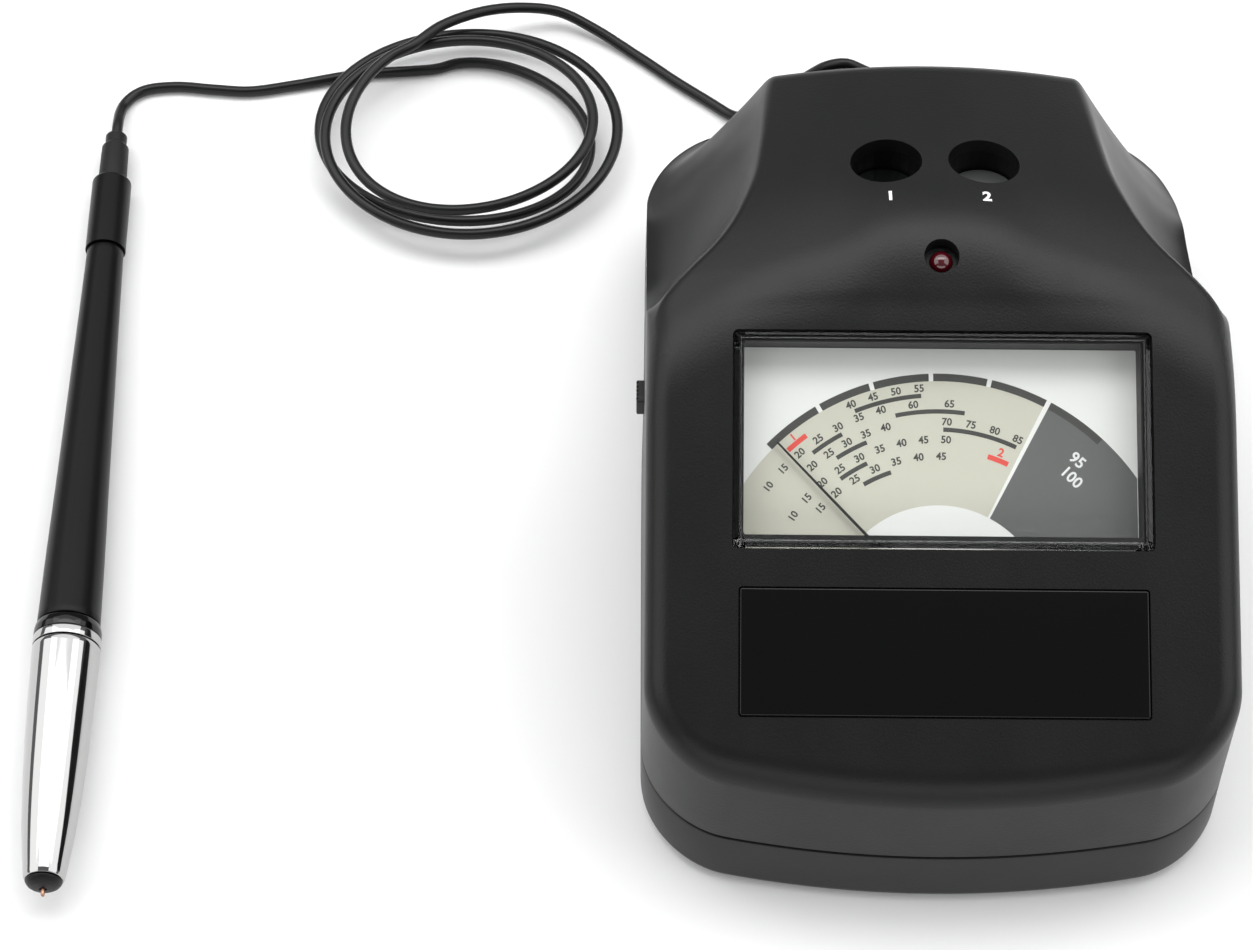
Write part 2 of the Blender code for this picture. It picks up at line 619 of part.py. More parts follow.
def build_housings(shop):
    """Make the two halves of the console, open inside, with their posts and openings."""
    low = PARTING_Z + PARTING_GAP / 2
    high = PARTING_Z - PARTING_GAP / 2
    hole = SCREW_SHANK_RADIUS + GAP
    upper = solid("upper_housing", skin_body(shop.top, low), shop.shell, shop.console, smooth=32)
    cavity = solid("upper_cavity", skin_body(shop.under, low - 2.0), None, shop.console)
    posts = [column(hole + 1.7, x, y, low - 3.0, HOOD_Z - 6.0) for x, y in both_sides(SCREW_POINTS)]
    cut(cavity, "upper_posts", together(*posts), shop.console)
    shape_with(upper, cavity, "DIFFERENCE")
    tip = SCREW_SEAT_Z + SCREW_LENGTH
    holes = together(*[column(hole, x, y, low - 1.0, tip) for x, y in both_sides(SCREW_POINTS)])
    cut(upper, "screw_holes", holes, shop.console)
    opening = rounded(WINDOW_WIDTH + 2 * GAP, WINDOW_HEIGHT + 2 * GAP, 1.0)
    cut(upper, "window_opening", slab(opening, -6.0, 4.0), shop.panel)
    recess = rounded(LABEL_WIDTH + 2 * GAP, LABEL_HEIGHT + 2 * GAP, LABEL_CORNER + GAP)
    recess_z = LABEL_PROUD - LABEL_THICKNESS - GAP
    cut(upper, "label_recess", slab(recess, recess_z, 4.0), shop.panel, (0.0, LABEL_Y, 0.0))
    wells = [moved(rod(WELL_RADIUS, -6.0, 4.0), (side * WELL_X, 0.0, 0.0)) for side in (-1, 1)]
    cut(upper, "well_holes", together(*wells), shop.well)
    lamp_z = float(top_height(0.0, LAMP_Y))
    cut(upper, "lamp_hole", column(LAMP_HOLE_RADIUS, 0.0, LAMP_Y, lamp_z - 8, lamp_z + 4, 24), shop.console)
    knob_half = SWITCH_KNOB_LENGTH / 2 + GAP
    slot = box((-HALF_WIDTH - 4, -HALF_WIDTH + WALL + 1.5),
               (SWITCH_Y - knob_half, SWITCH_Y + knob_half + SWITCH_TRAVEL),
               (SWITCH_Z - SWITCH_KNOB_HEIGHT / 2 - GAP, SWITCH_Z + SWITCH_KNOB_HEIGHT / 2 + GAP))
    cut(upper, "switch_slot", slot, shop.console)
    bore = turned(rod(TRIMMER_RADIUS + GAP, HALF_WIDTH - WALL - 1.5, HALF_WIDTH + 4, 24), ALONG_X)
    cut(upper, "trimmer_hole", bore, shop.console, (0.0, TRIMMER_Y, TRIMMER_Z))
    way = turned(rod(SOCKET_BUSH_RADIUS + GAP, LENGTH - 12, LENGTH + 6, 24), ALONG_Y)
    cut(upper, "socket_hole", way, shop.console, (SOCKET_X, 0.0, SOCKET_Z))

    rim = rim_of(shop.top)
    loops = [wall_loop(rim, FOOT_STAND, 0.8), wall_loop(rim, FOOT_STAND + 0.8), wall_loop(rim, high)]
    lower = solid("lower_housing", stack(loops), shop.shell, shop.console, smooth=40)
    floor_z = FOOT_STAND + FLOOR
    inside = [wall_loop(rim, floor_z, WALL), wall_loop(rim, high + 2.0, WALL)]
    tray = solid("lower_cavity", stack(inside), None, shop.console)
    boss = SCREW_HEAD_RADIUS + GAP + BOSS_WALL
    raised = [column(boss, x, y, FOOT_STAND, high + 4.0, 24) for x, y in both_sides(SCREW_POINTS)]
    bay_x = BAY_HALF_WIDTH + BAY_WALL
    bay_y = (BAY_FRONT_Y - BAY_WALL, BAY_FRONT_Y + BAY_LENGTH + BAY_WALL)
    extra = [column(2.8, x, y, floor_z - 0.6, BOARD_Z - GAP) for x, y in both_sides(BOARD_SCREWS)]
    extra.append(box((-bay_x, bay_x), bay_y, (floor_z - 0.6, BAY_TOP_Z + BAY_WALL)))
    cut(tray, "base_posts", together(*raised), shop.console)
    shape_with(lower, tray, "DIFFERENCE")
    join(lower, "tall_posts", together(*extra), shop.console)
    bay = box((-BAY_HALF_WIDTH, BAY_HALF_WIDTH), (BAY_FRONT_Y, BAY_FRONT_Y + BAY_LENGTH), (0.0, BAY_TOP_Z))
    cut(lower, "battery_bay", bay, shop.console)
    mouth_y = (BAY_FRONT_Y, BAY_FRONT_Y + BAY_LENGTH)
    rail_y = (mouth_y[0] - DOOR_TONGUE - GAP, mouth_y[1] + DOOR_TONGUE + GAP)
    cut(lower, "door_channel", box((-BAY_HALF_WIDTH - 0.2, HALF_WIDTH + 9), mouth_y,
                                   (0.0, DOOR_TOP_Z + GAP)), shop.console)
    tongue_z = DOOR_TOP_Z - DOOR_TONGUE_THICKNESS
    cut(lower, "door_rails", box((-BAY_HALF_WIDTH - 0.1, HALF_WIDTH + 8), rail_y,
                                 (tongue_z - GAP, DOOR_TOP_Z + GAP - 0.05)), shop.console)
    seats = together(*[column(FOOT_RADIUS + GAP, x, y, -1.0, FOOT_STAND + FOOT_SEAT, 24)
                       for x, y in both_sides(FEET)])
    cut(lower, "foot_seats", seats, shop.console)
    heads = [column(SCREW_HEAD_RADIUS + GAP, x, y, -1.0, SCREW_SEAT_Z, 20)
             for x, y in both_sides(SCREW_POINTS)]
    cut(lower, "screw_heads", together(*heads), shop.console)
    shanks = [column(hole, x, y, -2.0, high + 6.0) for x, y in both_sides(SCREW_POINTS)]
    cut(lower, "screw_shanks", together(*shanks), shop.console)
    pilots = [column(1.3, x, y, floor_z + 2.0, BOARD_Z + 2) for x, y in both_sides(BOARD_SCREWS)]
    cut(lower, "board_pilots", together(*pilots), shop.console)


def build_base_pieces(shop):
    """Make what the base carries: feet, screws, cells, contacts and the sliding door."""
    foot = lathe([(0.0, 0.0), (FOOT_RADIUS - 0.5, 0.0), (FOOT_RADIUS, 0.5),
                  (FOOT_RADIUS, FOOT_STAND + FOOT_SEAT - GAP), (0.0, FOOT_STAND + FOOT_SEAT - GAP)], 24)
    copies("rubber_foot", foot, both_sides(FEET), shop.rubber, shop.console)
    head_top = SCREW_SEAT_Z - GAP
    screw = lathe([(0.0, head_top - SCREW_HEAD_HEIGHT + 0.7), (0.9, head_top - SCREW_HEAD_HEIGHT),
                   (SCREW_HEAD_RADIUS, head_top - SCREW_HEAD_HEIGHT + 0.4), (SCREW_HEAD_RADIUS, head_top),
                   (SCREW_SHANK_RADIUS, head_top), (SCREW_SHANK_RADIUS, head_top + SCREW_LENGTH - 1.0),
                   (0.0, head_top + SCREW_LENGTH)], 16)
    copies("housing_screw", screw, both_sides(SCREW_POINTS), shop.steel, shop.console)
    cell = lathe([(0.0, 0.0), (CELL_RADIUS, 0.0), (CELL_RADIUS, CELL_BODY), (2.7, CELL_BODY),
                  (2.7, CELL_BODY + CELL_BUTTON), (0.0, CELL_BODY + CELL_BUTTON)], 24)
    cell = moved(turned(cell, ALONG_Y), (0.0, 0.0, CELL_Z))
    end_y = BAY_FRONT_Y + 2 * GAP + CONTACT_PLATE + CONTACT_SPRING
    across = [(index - (CELL_COUNT - 1) / 2) * CELL_PITCH for index in range(CELL_COUNT)]
    copies("battery", cell, [(x, end_y) for x in across], shop.dark, shop.console)
    build_contacts(shop, across)
    edge = shop.wall_x(BAY_FRONT_Y + 25, DOOR_TOP_Z) - 0.4
    mouth = (BAY_FRONT_Y + GAP, BAY_FRONT_Y + BAY_LENGTH - GAP)
    rails = (mouth[0] - DOOR_TONGUE, mouth[1] + DOOR_TONGUE)
    tongue_z = DOOR_TOP_Z - DOOR_TONGUE_THICKNESS
    left = -BAY_HALF_WIDTH + GAP
    profile = [(mouth[0], DOOR_Z), (mouth[1], DOOR_Z), (mouth[1], tongue_z), (rails[1], tongue_z),
               (rails[1], DOOR_TOP_Z), (rails[0], DOOR_TOP_Z), (rails[0], tongue_z), (mouth[0], tongue_z)]
    ends = [[(x, y, z) for y, z in profile] for x in (left, edge)]
    door = solid("battery_door", stack(ends), shop.shell, shop.console)
    grips = [box((edge - 5.0 - 2.4 * step, edge - 3.8 - 2.4 * step), (mouth[0] + 15, mouth[1] - 15),
                 (0.0, DOOR_Z + 0.45)) for step in range(3)]
    cut(door, "door_grip", together(*grips), shop.console)


def build_contacts(shop, across):
    """Make the contacts: strips that bridge the cells in pairs, sprung at the front."""
    front = (BAY_FRONT_Y + GAP, BAY_FRONT_Y + GAP + CONTACT_PLATE)
    rear = (BAY_FRONT_Y + BAY_LENGTH - GAP - CONTACT_PLATE, BAY_FRONT_Y + BAY_LENGTH - GAP)
    height = (CELL_Z - 3.5, CELL_Z + 3.5)
    cone = lathe([(0.0, -0.3), (2.9, -0.3), (2.0, CONTACT_SPRING), (0.0, CONTACT_SPRING)], 16)
    spring = turned(cone, ALONG_Y)
    for number, (left, right) in enumerate(zip(across[0::2], across[1::2]), 1):
        bar = box((left - 4, right + 4), front, height)
        strip = solid(f"front_contact_{number}", bar, shop.steel, shop.console)
        springs = together(*[moved(spring, (x, front[1], CELL_Z)) for x in (left, right)])
        join(strip, f"contact_springs_{number}", springs, shop.console)
    ends = [across[0], *across[1:-1], across[-1]]
    spans = [(ends[0], ends[0]), *zip(across[1:-1:2], across[2:-1:2]), (ends[-1], ends[-1])]
    for number, (left, right) in enumerate(spans, 1):
        solid(f"rear_contact_{number}", box((left - 4, right + 4), rear, height), shop.steel, shop.console)


def build_meter(shop):
    """Make the meter: case, clear cover, dial, and the movement that swings the needle."""
    case_y = (CASE_BOTTOM_Y, CASE_TOP_Y)
    seat_z = WINDOW_SEAT_Z - GAP
    case_top = -WALL - 3 * GAP
    case = solid("meter_case", box((-CASE_WIDTH / 2, CASE_WIDTH / 2), case_y, (CASE_FLOOR_Z, case_top)),
                 shop.dark, shop.panel)
    seat = rounded(WINDOW_WIDTH + 2 * GAP, WINDOW_HEIGHT + 2 * GAP, 1.0)
    cut(case, "window_seat", slab(seat, seat_z, 2.0), shop.panel)
    inner_x = WINDOW_WIDTH / 2 - WINDOW_SKIRT
    inner_top = WINDOW_HEIGHT / 2 - WINDOW_SKIRT
    floor_z = CASE_FLOOR_Z + CASE_WALL
    inner_y = (CASE_BOTTOM_Y + CASE_WALL, inner_top)
    cut(case, "case_hollow", box((-inner_x, inner_x), inner_y, (floor_z, seat_z + 0.5)), shop.panel)
    join(case, "lower_jewel", rod(1.6, floor_z - 0.5, floor_z + 0.7, 16), shop.panel, (0.0, PIVOT_Y, 0.0))

    outline = rounded(WINDOW_WIDTH, WINDOW_HEIGHT, 0.8)
    clear = slab(outline, WINDOW_SEAT_Z, WINDOW_TOP, WINDOW_BEVEL)
    cover = solid("meter_window", clear, shop.clear, shop.panel)
    hollow = rounded(WINDOW_WIDTH - 2 * WINDOW_SKIRT, WINDOW_HEIGHT - 2 * WINDOW_SKIRT, 0.6)
    cut(cover, "cover_hollow", slab(hollow, WINDOW_SEAT_Z - 1, WINDOW_TOP - WINDOW_THICKNESS), shop.panel)

    dial = solid("dial_plate", box((-inner_x + GAP, inner_x - GAP), (PIVOT_Y - 9.0, inner_top - GAP),
                                   (DIAL_Z - DIAL_THICKNESS, DIAL_Z)), shop.dial, shop.panel)
    bore = rod(SHAFT_RADIUS + 0.5, DIAL_Z - 3, DIAL_Z + 3, 16)
    cut(dial, "dial_bore", bore, shop.panel, (0.0, PIVOT_Y, 0.0))

    label = rounded(LABEL_WIDTH, LABEL_HEIGHT, LABEL_CORNER)
    solid("label_plate", slab(label, LABEL_PROUD - LABEL_THICKNESS, LABEL_PROUD, 0.3), shop.gloss,
          shop.panel, (0.0, LABEL_Y, 0.0))

    coil_x = CORE_RADIUS + GAP + COIL_WINDING
    coil_half = 1.6
    yoke_inner = math.hypot(coil_x, coil_half) + GAP
    low, high = CORE_Z - CORE_LENGTH / 2, CORE_Z + CORE_LENGTH / 2
    yoke = solid("meter_magnet", tube(yoke_inner + YOKE_THICKNESS, yoke_inner, low, high), shop.steel,
                 shop.panel, (0.0, PIVOT_Y, 0.0), smooth=40)
    leg_x = yoke_inner + YOKE_THICKNESS / 2
    legs = [box((side * leg_x - 1.5, side * leg_x + 1.5), (-2.5, 2.5), (floor_z + GAP, low + 0.5))
            for side in (-1, 1)]
    join(yoke, "magnet_legs", together(*legs), shop.panel, (0.0, PIVOT_Y, 0.0))

    core = solid("pole_core", rod(CORE_RADIUS, low, high, 24), shop.steel, shop.panel,
                 (0.0, PIVOT_Y, 0.0), smooth=40)
    bridge = box((-1.1, 1.1), (-yoke_inner + GAP, yoke_inner - GAP), (CORE_Z - 1.2, CORE_Z + 1.2))
    join(core, "core_bridge", bridge, shop.panel, (0.0, PIVOT_Y, 0.0))

    half = CORE_LENGTH / 2 + GAP
    winding = box((-coil_x, coil_x), (-coil_half, coil_half), (-half - COIL_WINDING, half + COIL_WINDING))
    coil = solid("moving_coil", winding, shop.copper, shop.panel, (0.0, PIVOT_Y, CORE_Z),
                 (0.0, 0.0, NEEDLE_REST))
    window = box((-CORE_RADIUS - GAP, CORE_RADIUS + GAP), (-3.0, 3.0), (-half, half))
    shaft_top = NEEDLE_Z - NEEDLE_THICKNESS / 2 - GAP - CORE_Z
    shaft_low = floor_z + 0.7 + GAP - CORE_Z
    shafts = together(rod(SHAFT_RADIUS, half + 0.3, shaft_top, 12),
                      rod(SHAFT_RADIUS, shaft_low, -half - 0.3, 12))
    place, turn = (0.0, PIVOT_Y, CORE_Z), (0.0, 0.0, NEEDLE_REST)
    cut(coil, "coil_window", window, shop.panel, place, turn)
    join(coil, "coil_shafts", shafts, shop.panel, place, turn)

    hub = 2.6
    solid("needle", needle_shape(hub), shop.needle, shop.panel, (0.0, PIVOT_Y, NEEDLE_Z),
          (0.0, 0.0, NEEDLE_REST))


def needle_shape(hub):
    """Return the pointer: a tapered blade, a round hub and a short tail, cut from one sheet."""
    blade, tail = math.asin(0.45 / hub), math.asin(0.8 / hub)
    right = [math.pi / 2 - blade - (math.pi - blade - tail) * step / 6 for step in range(7)]
    left = [math.pi - angle for angle in reversed(right)]
    outline = [(-0.2, NEEDLE_RADIUS), (0.2, NEEDLE_RADIUS)]
    outline += [(hub * math.cos(angle), hub * math.sin(angle)) for angle in right]
    outline += [(0.8, -NEEDLE_TAIL), (-0.8, -NEEDLE_TAIL)]
    outline += [(hub * math.cos(angle), hub * math.sin(angle)) for angle in left]
    return slab(outline[::-1], -NEEDLE_THICKNESS / 2, NEEDLE_THICKNESS / 2)


def build_hood_pieces(shop):
    """Make the two test wells under the hood with their discs, and the lamp in its holder."""
    rim = WELL_RADIUS + WELL_WALL
    block_low = -WELL_DEPTH - DISC_THICKNESS - 2 * GAP - WELL_WALL + 0.5
    block = solid("well_block", slab(rounded(2 * (WELL_X + rim), 2 * rim, rim - 0.5, 6), block_low, 3.0),
                  shop.dark, shop.well, smooth=40)
    shape_with(block, shop.under_skin("under_hood_wells"), "INTERSECT")
    bore = rod(WELL_RADIUS, -WELL_DEPTH - DISC_THICKNESS - GAP, 5.0)
    bores = [moved(bore, (side * WELL_X, 0.0, 0.0)) for side in (-1, 1)]
    cut(block, "well_bores", together(*bores), shop.well)
    disc = lathe([(0.0, -WELL_DEPTH - DISC_THICKNESS), (WELL_RADIUS - GAP, -WELL_DEPTH - DISC_THICKNESS),
                  (WELL_RADIUS - GAP, -WELL_DEPTH), (0.0, -WELL_DEPTH)])
    solid("glass_disc", disc, shop.glass, shop.well, (-WELL_X, 0.0, 0.0), smooth=40)
    solid("calibration_disc", disc, shop.grey, shop.well, (WELL_X, 0.0, 0.0), smooth=40)

    top = float(top_height(0.0, LAMP_Y))
    seat = top - 7.0
    holder = solid("lamp_holder", rod(LAMP_HOLE_RADIUS + 1.4, seat, top + 2, 24), shop.dark, shop.console,
                   (0.0, LAMP_Y, 0.0), smooth=40)
    shape_with(holder, shop.under_skin("under_hood_lamp"), "INTERSECT")
    neck = rod(LAMP_HOLE_RADIUS - GAP, seat + 0.5, top - 2.0, 24)
    join(holder, "holder_neck", neck, shop.console, (0.0, LAMP_Y, 0.0))
    bore = rod(LAMP_RADIUS + GAP, seat - 2, top + 4, 24)
    cut(holder, "holder_bore", bore, shop.console, (0.0, LAMP_Y, 0.0))
    rises = [math.radians(degrees) for degrees in (0, 18, 36, 54, 72)]
    dome = [(LAMP_RADIUS * math.cos(rise), top - 0.6 - LAMP_RADIUS * (1 - math.sin(rise))) for rise in rises]
    lamp = lathe([(0.0, seat - GAP - 1.0), (LAMP_RADIUS + 0.7, seat - GAP - 1.0),
                  (LAMP_RADIUS + 0.7, seat - GAP), (LAMP_RADIUS, seat - GAP), *dome, (0.0, top - 0.6)], 24)
    solid("status_lamp", lamp, shop.lamp, shop.console, (0.0, LAMP_Y, 0.0), smooth=40)


def build_electronics(shop):
    """Make the board on its posts, what is soldered to it, and the two wall controls."""
    top = BOARD_Z + BOARD_THICKNESS
    deck = box((-BOARD_HALF_WIDTH, BOARD_HALF_WIDTH), (BOARD_FRONT_Y, BOARD_REAR_Y), (BOARD_Z, top))
    board = solid("circuit_board", deck, shop.board, shop.console)
    bores = [column(1.3, x, y, BOARD_Z - 2, top + 2, 12) for x, y in both_sides(BOARD_SCREWS)]
    cut(board, "board_bores", together(*bores), shop.console)
    screw = lathe([(0.0, BOARD_Z - 6.0), (1.0, BOARD_Z - 5.0), (1.0, top + GAP), (2.2, top + GAP),
                   (2.2, top + 1.6), (0.0, top + 1.6)], 12)
    copies("board_screw", screw, both_sides(BOARD_SCREWS), shop.steel, shop.console)
    seat = top + GAP

    def share(part):
        """Return the place at a share of the board's depth."""
        return BOARD_FRONT_Y + part * BOARD_DEPTH

    chip = box((-25.0, -5.0), (share(0.26), share(0.43)), (seat, seat + 3.5))
    solid("warmup_chip", chip, shop.dark, shop.console)
    driver = box((14.0, 24.0), (share(0.13), share(0.53)), (seat, seat + 4.5))
    solid("heat_driver", driver, shop.dark, shop.console)
    radius = 3.1
    can = column(radius, 8.0, BOARD_FRONT_Y + radius + 1.0, seat, seat + 8.0)
    solid("capacitor", can, shop.dark, shop.console, smooth=40)

    body_y = (SOCKET_FACE_Y - 21.0, SOCKET_FACE_Y - 9.3)
    socket = solid("probe_socket", box((SOCKET_X - 5, SOCKET_X + 5), body_y, (seat, SOCKET_Z + 6)),
                   shop.dark, shop.console)
    bush = turned(rod(SOCKET_BUSH_RADIUS, body_y[1] - 1.0, SOCKET_FACE_Y, 24), ALONG_Y)
    join(socket, "socket_bush", bush, shop.console, (SOCKET_X, 0.0, SOCKET_Z))
    bore = turned(rod(JACK_RADIUS + GAP, SOCKET_FACE_Y - 14.0, SOCKET_FACE_Y + 3, 20), ALONG_Y)
    cut(socket, "socket_bore", bore, shop.console, (SOCKET_X, 0.0, SOCKET_Z))

    half = SWITCH_KNOB_LENGTH / 2
    wall = shop.wall_x(SWITCH_Y, SWITCH_Z)
    inside = wall - WALL - GAP - 0.1
    body = box((-inside, -inside + CONTROL_DEPTH), (SWITCH_Y - 8, SWITCH_Y + 11),
               (SWITCH_Z - 4, SWITCH_Z + 4))
    switch = solid("power_switch_body", body, shop.dark, shop.console)
    stem = (1.2, 0.9)
    slot = box((-inside - 1, -inside + 2.4),
               (SWITCH_Y - stem[0] - GAP, SWITCH_Y + stem[0] + SWITCH_TRAVEL + GAP),
               (SWITCH_Z - stem[1] - GAP, SWITCH_Z + stem[1] + GAP))
    cut(switch, "stem_slot", slot, shop.console)
    knob = box((-wall - SWITCH_PROUD, -inside - GAP), (-half, half),
               (-SWITCH_KNOB_HEIGHT / 2, SWITCH_KNOB_HEIGHT / 2))
    slider = solid("power_switch_slider", knob, shop.dark, shop.console, (0.0, SWITCH_Y, SWITCH_Z))
    post = box((-inside - 1.0, -inside + 1.8), (-stem[0], stem[0]), (-stem[1], stem[1]))
    join(slider, "slider_stem", post, shop.console, (0.0, SWITCH_Y, SWITCH_Z))
    groove = [box((-wall - 4, -wall - SWITCH_PROUD + 0.35), (y - 0.25, y + 0.25), (-4.0, 4.0))
              for y in (-1.2, 0.0, 1.2)]
    cut(slider, "slider_grooves", together(*groove), shop.console, (0.0, SWITCH_Y, SWITCH_Z))

    wall = shop.wall_x(TRIMMER_Y, TRIMMER_Z)
    inside = wall - WALL - GAP - 0.1
    pot = box((inside - CONTROL_DEPTH, inside), (TRIMMER_Y - 5, TRIMMER_Y + 5),
              (TRIMMER_Z - 5, TRIMMER_Z + 5))
    body = solid("trim_pot_body", pot, shop.dark, shop.console)
    bore = turned(rod(TRIMMER_RADIUS + GAP, inside - 2.5, inside + 2, 24), ALONG_X)
    cut(body, "pot_bore", bore, shop.console, (0.0, TRIMMER_Y, TRIMMER_Z))
    shaft = turned(rod(TRIMMER_RADIUS, inside - 2.5 + GAP, wall - 0.4, 24), ALONG_X)
    trimmer = solid("calibration_trimmer", shaft, shop.brass, shop.console,
                    (0.0, TRIMMER_Y, TRIMMER_Z), smooth=40)
    cut(trimmer, "trimmer_slot", box((wall - 1.3, wall + 2), (-4.0, 4.0), (-0.45, 0.45)), shop.console,
        (0.0, TRIMMER_Y, TRIMMER_Z))


def build_probe(shop):
    """Make the probe's pieces as turned bodies along its own axis, from the pin's point."""
    axis = shop.probe
    rear = CAP_REAR + 3.8
    collar = rear + GAP
    stop = collar + 1.5
    pin = lathe([(0.0, 0.0), (0.24, 0.08), (PIN_RADIUS, 0.38), (PIN_RADIUS, collar), (1.6, collar),
                 (1.6, stop), (0.0, stop)], 16)
    solid("probe_tip", pin, shop.copper, axis, smooth=40)
    spigot = CAP_RADIUS - 0.8
    front = CAP_FRONT + 1.8
    cap = lathe([(PIN_RADIUS + GAP, CAP_FRONT), (CAP_MOUTH_RADIUS, CAP_FRONT),
                 (CAP_RADIUS - 0.15, front - GAP), (spigot, front - GAP), (spigot, rear),
                 (PIN_RADIUS + GAP, rear)])
    solid("nose_cap", cap, shop.dark, axis, smooth=40)
    cartridge = 0.373 * NOSE_REAR
    spring_front = stop + PIN_STROKE + GAP
    solid("tip_spring", tube(1.5, 0.8, spring_front, cartridge - GAP, 16), shop.steel, axis, smooth=40)
    heater = rod(NOSE_RADIUS * 0.593, cartridge, NOSE_REAR - 4.3, 24)
    solid("heater_cartridge", heater, shop.brass, axis, smooth=40)
    bore = NOSE_RADIUS - PROBE_WALL
    nose = lathe([(CAP_RADIUS, front), (CAP_RADIUS + 0.22, front + 0.4), (CAP_RADIUS + 0.45, front + 2.2),
                  *[(radius, share * NOSE_REAR) for share, radius in NOSE_FORM], (NOSE_RADIUS, NOSE_REAR),
                  (bore, NOSE_REAR), (bore, 0.6 * NOSE_REAR), (3.95, 0.352 * NOSE_REAR),
                  (spigot + GAP, rear + 1.5), (spigot + GAP, front)])
    solid("probe_nose", nose, shop.chrome, axis, smooth=40)
    ring_front = NOSE_REAR + GAP
    neck = bore - GAP
    back = BARREL_FRONT_RADIUS - PROBE_WALL
    ring = lathe([(neck, NOSE_REAR - 4.0), (neck, ring_front), (NOSE_RADIUS, ring_front),
                  (NOSE_RADIUS, RING_REAR), (back - GAP, RING_REAR), (back - GAP, RING_REAR + 5.5),
                  (3.3, RING_REAR + 5.5), (3.3, NOSE_REAR - 4.0)])
    solid("probe_trim_ring", ring, shop.chrome, axis, smooth=40)
    start = RING_REAR + GAP
    tail = COLLAR_RADIUS - 0.95
    reach = BARREL_REAR - RING_REAR
    outside = [(BARREL_FRONT_RADIUS, start)]
    outside += [(radius, RING_REAR + share * reach) for share, radius in BARREL_FORM]
    inside = [(1.9, BARREL_REAR + 7.5), (2.5, RING_REAR + 0.826 * reach), (3.4, RING_REAR + 0.504 * reach),
              (back - 0.1, RING_REAR + 0.205 * reach), (back, RING_REAR + 6.5), (back, start)]
    barrel = lathe(outside + [(BARREL_REAR_RADIUS, BARREL_REAR - GAP), (tail, BARREL_REAR - GAP),
                              (tail, BARREL_REAR + 7.5)] + inside)
    solid("probe_barrel", barrel, shop.shell, axis, smooth=40)
    plug = 1.6
    sleeve = lathe([(COLLAR_RADIUS, BARREL_REAR), (COLLAR_REAR_RADIUS + 0.03, COLLAR_REAR - 0.4),
                    (COLLAR_REAR_RADIUS - 0.3, COLLAR_REAR), (plug + GAP, COLLAR_REAR),
                    (plug + GAP, BARREL_REAR + 8.5), (tail + GAP, BARREL_REAR + 8.5),
                    (tail + GAP, BARREL_REAR)])
    solid("probe_collar", sleeve, shop.shell, axis, smooth=40)
    boot = lathe([(0.0, COLLAR_REAR - 7.0), (plug, COLLAR_REAR - 7.0), (plug, COLLAR_REAR + GAP),
                  (BOOT_RADIUS, COLLAR_REAR + GAP), (BOOT_RADIUS, BOOT_REAR - 0.4),
                  (BOOT_RADIUS - 0.4, BOOT_REAR), (BOOT_END_RADIUS, BOOT_REAR),
                  (BOOT_END_RADIUS, BOOT_END_REAR), (0.0, BOOT_END_REAR)])
    solid("probe_boot", boot, shop.rubber, axis, smooth=40)
    wires = rod(1.0, NOSE_REAR - 4.3 + GAP, COLLAR_REAR - 7.0 - GAP, 12)
    solid("probe_wires", wires, shop.rubber, axis, smooth=40)


# The lead's route on the table, in the console's frame, and its drop from the plug.
ROUTE_TO_COIL = ((-154.6, 170.4), (-151.3, 173.9), (-144.9, 175.1), (-137.0, 174.5), (-129.7, 174.1),
                 (-121.0, 175.7), (-108.2, 178.6))
ROUTE_TO_CONSOLE = ((-91.2, 184.8, 9.3), (-82.9, 190.1, 7.4), (-74.9, 192.7, 5.4), (-67.9, 193.1, 3.6),
                    (-60.8, 189.9, 2.2), (-52.2, 183.9, LEAD_Z), (-44.3, 177.4, LEAD_Z),
                    (-37.1, 171.9, LEAD_Z), (-33.2, 168.8, 1.5), (-29.9, 166.4, 4.1),
                    (-26.9, 164.9, 8.7), (-24.0, 163.8, 13.9), (-21.2, 163.0, 18.9),
                    (-18.3, 162.3, 23.3), (-15.4, 161.7, 26.4), (-12.1, 161.2, 27.7))
# Each row: turns made, centre x and y, radius across and radius along.
COIL_FORM = ((0.0, -86.8, 165.1, 15.6, 16.3), (0.5, -84.5, 163.1, 27.1, 21.1),
             (1.0, -86.1, 162.6, 29.7, 23.8), (1.5, -85.0, 162.1, 29.1, 25.8),
             (2.0, -85.2, 159.4, 27.4, 23.5), (2.5, -85.4, 161.2, 22.6, 20.9),
             (3.0, -88.8, 155.4, 21.3, 25.5))
COIL_START = 112.0      # degrees, counted from +X
PLUG_RADIUS = 4.2
PLUG_LENGTH = 8.6
PLUG_BOOT_END = (-6.3, 160.2, 25.4)


def smooth_route(knots, spacing):
    """Return points at an even spacing on a smooth curve through the knots."""
    knots = np.array(knots, dtype=float)
    leg = np.sqrt(np.linalg.norm(np.diff(knots, axis=0), axis=1))
    at = np.concatenate([[0.0], np.cumsum(leg)])
    fine = np.linspace(0.0, at[-1], 40 * len(knots))
    path = np.stack([curve(tuple(zip(at, knots[:, axis])), fine) for axis in range(3)], axis=1)
    run = np.concatenate([[0.0], np.cumsum(np.linalg.norm(np.diff(path, axis=0), axis=1))])
    count = max(2, round(run[-1] / spacing) + 1)
    even = np.linspace(0.0, run[-1], count)
    return np.stack([np.interp(even, run, path[:, axis]) for axis in range(3)], axis=1)


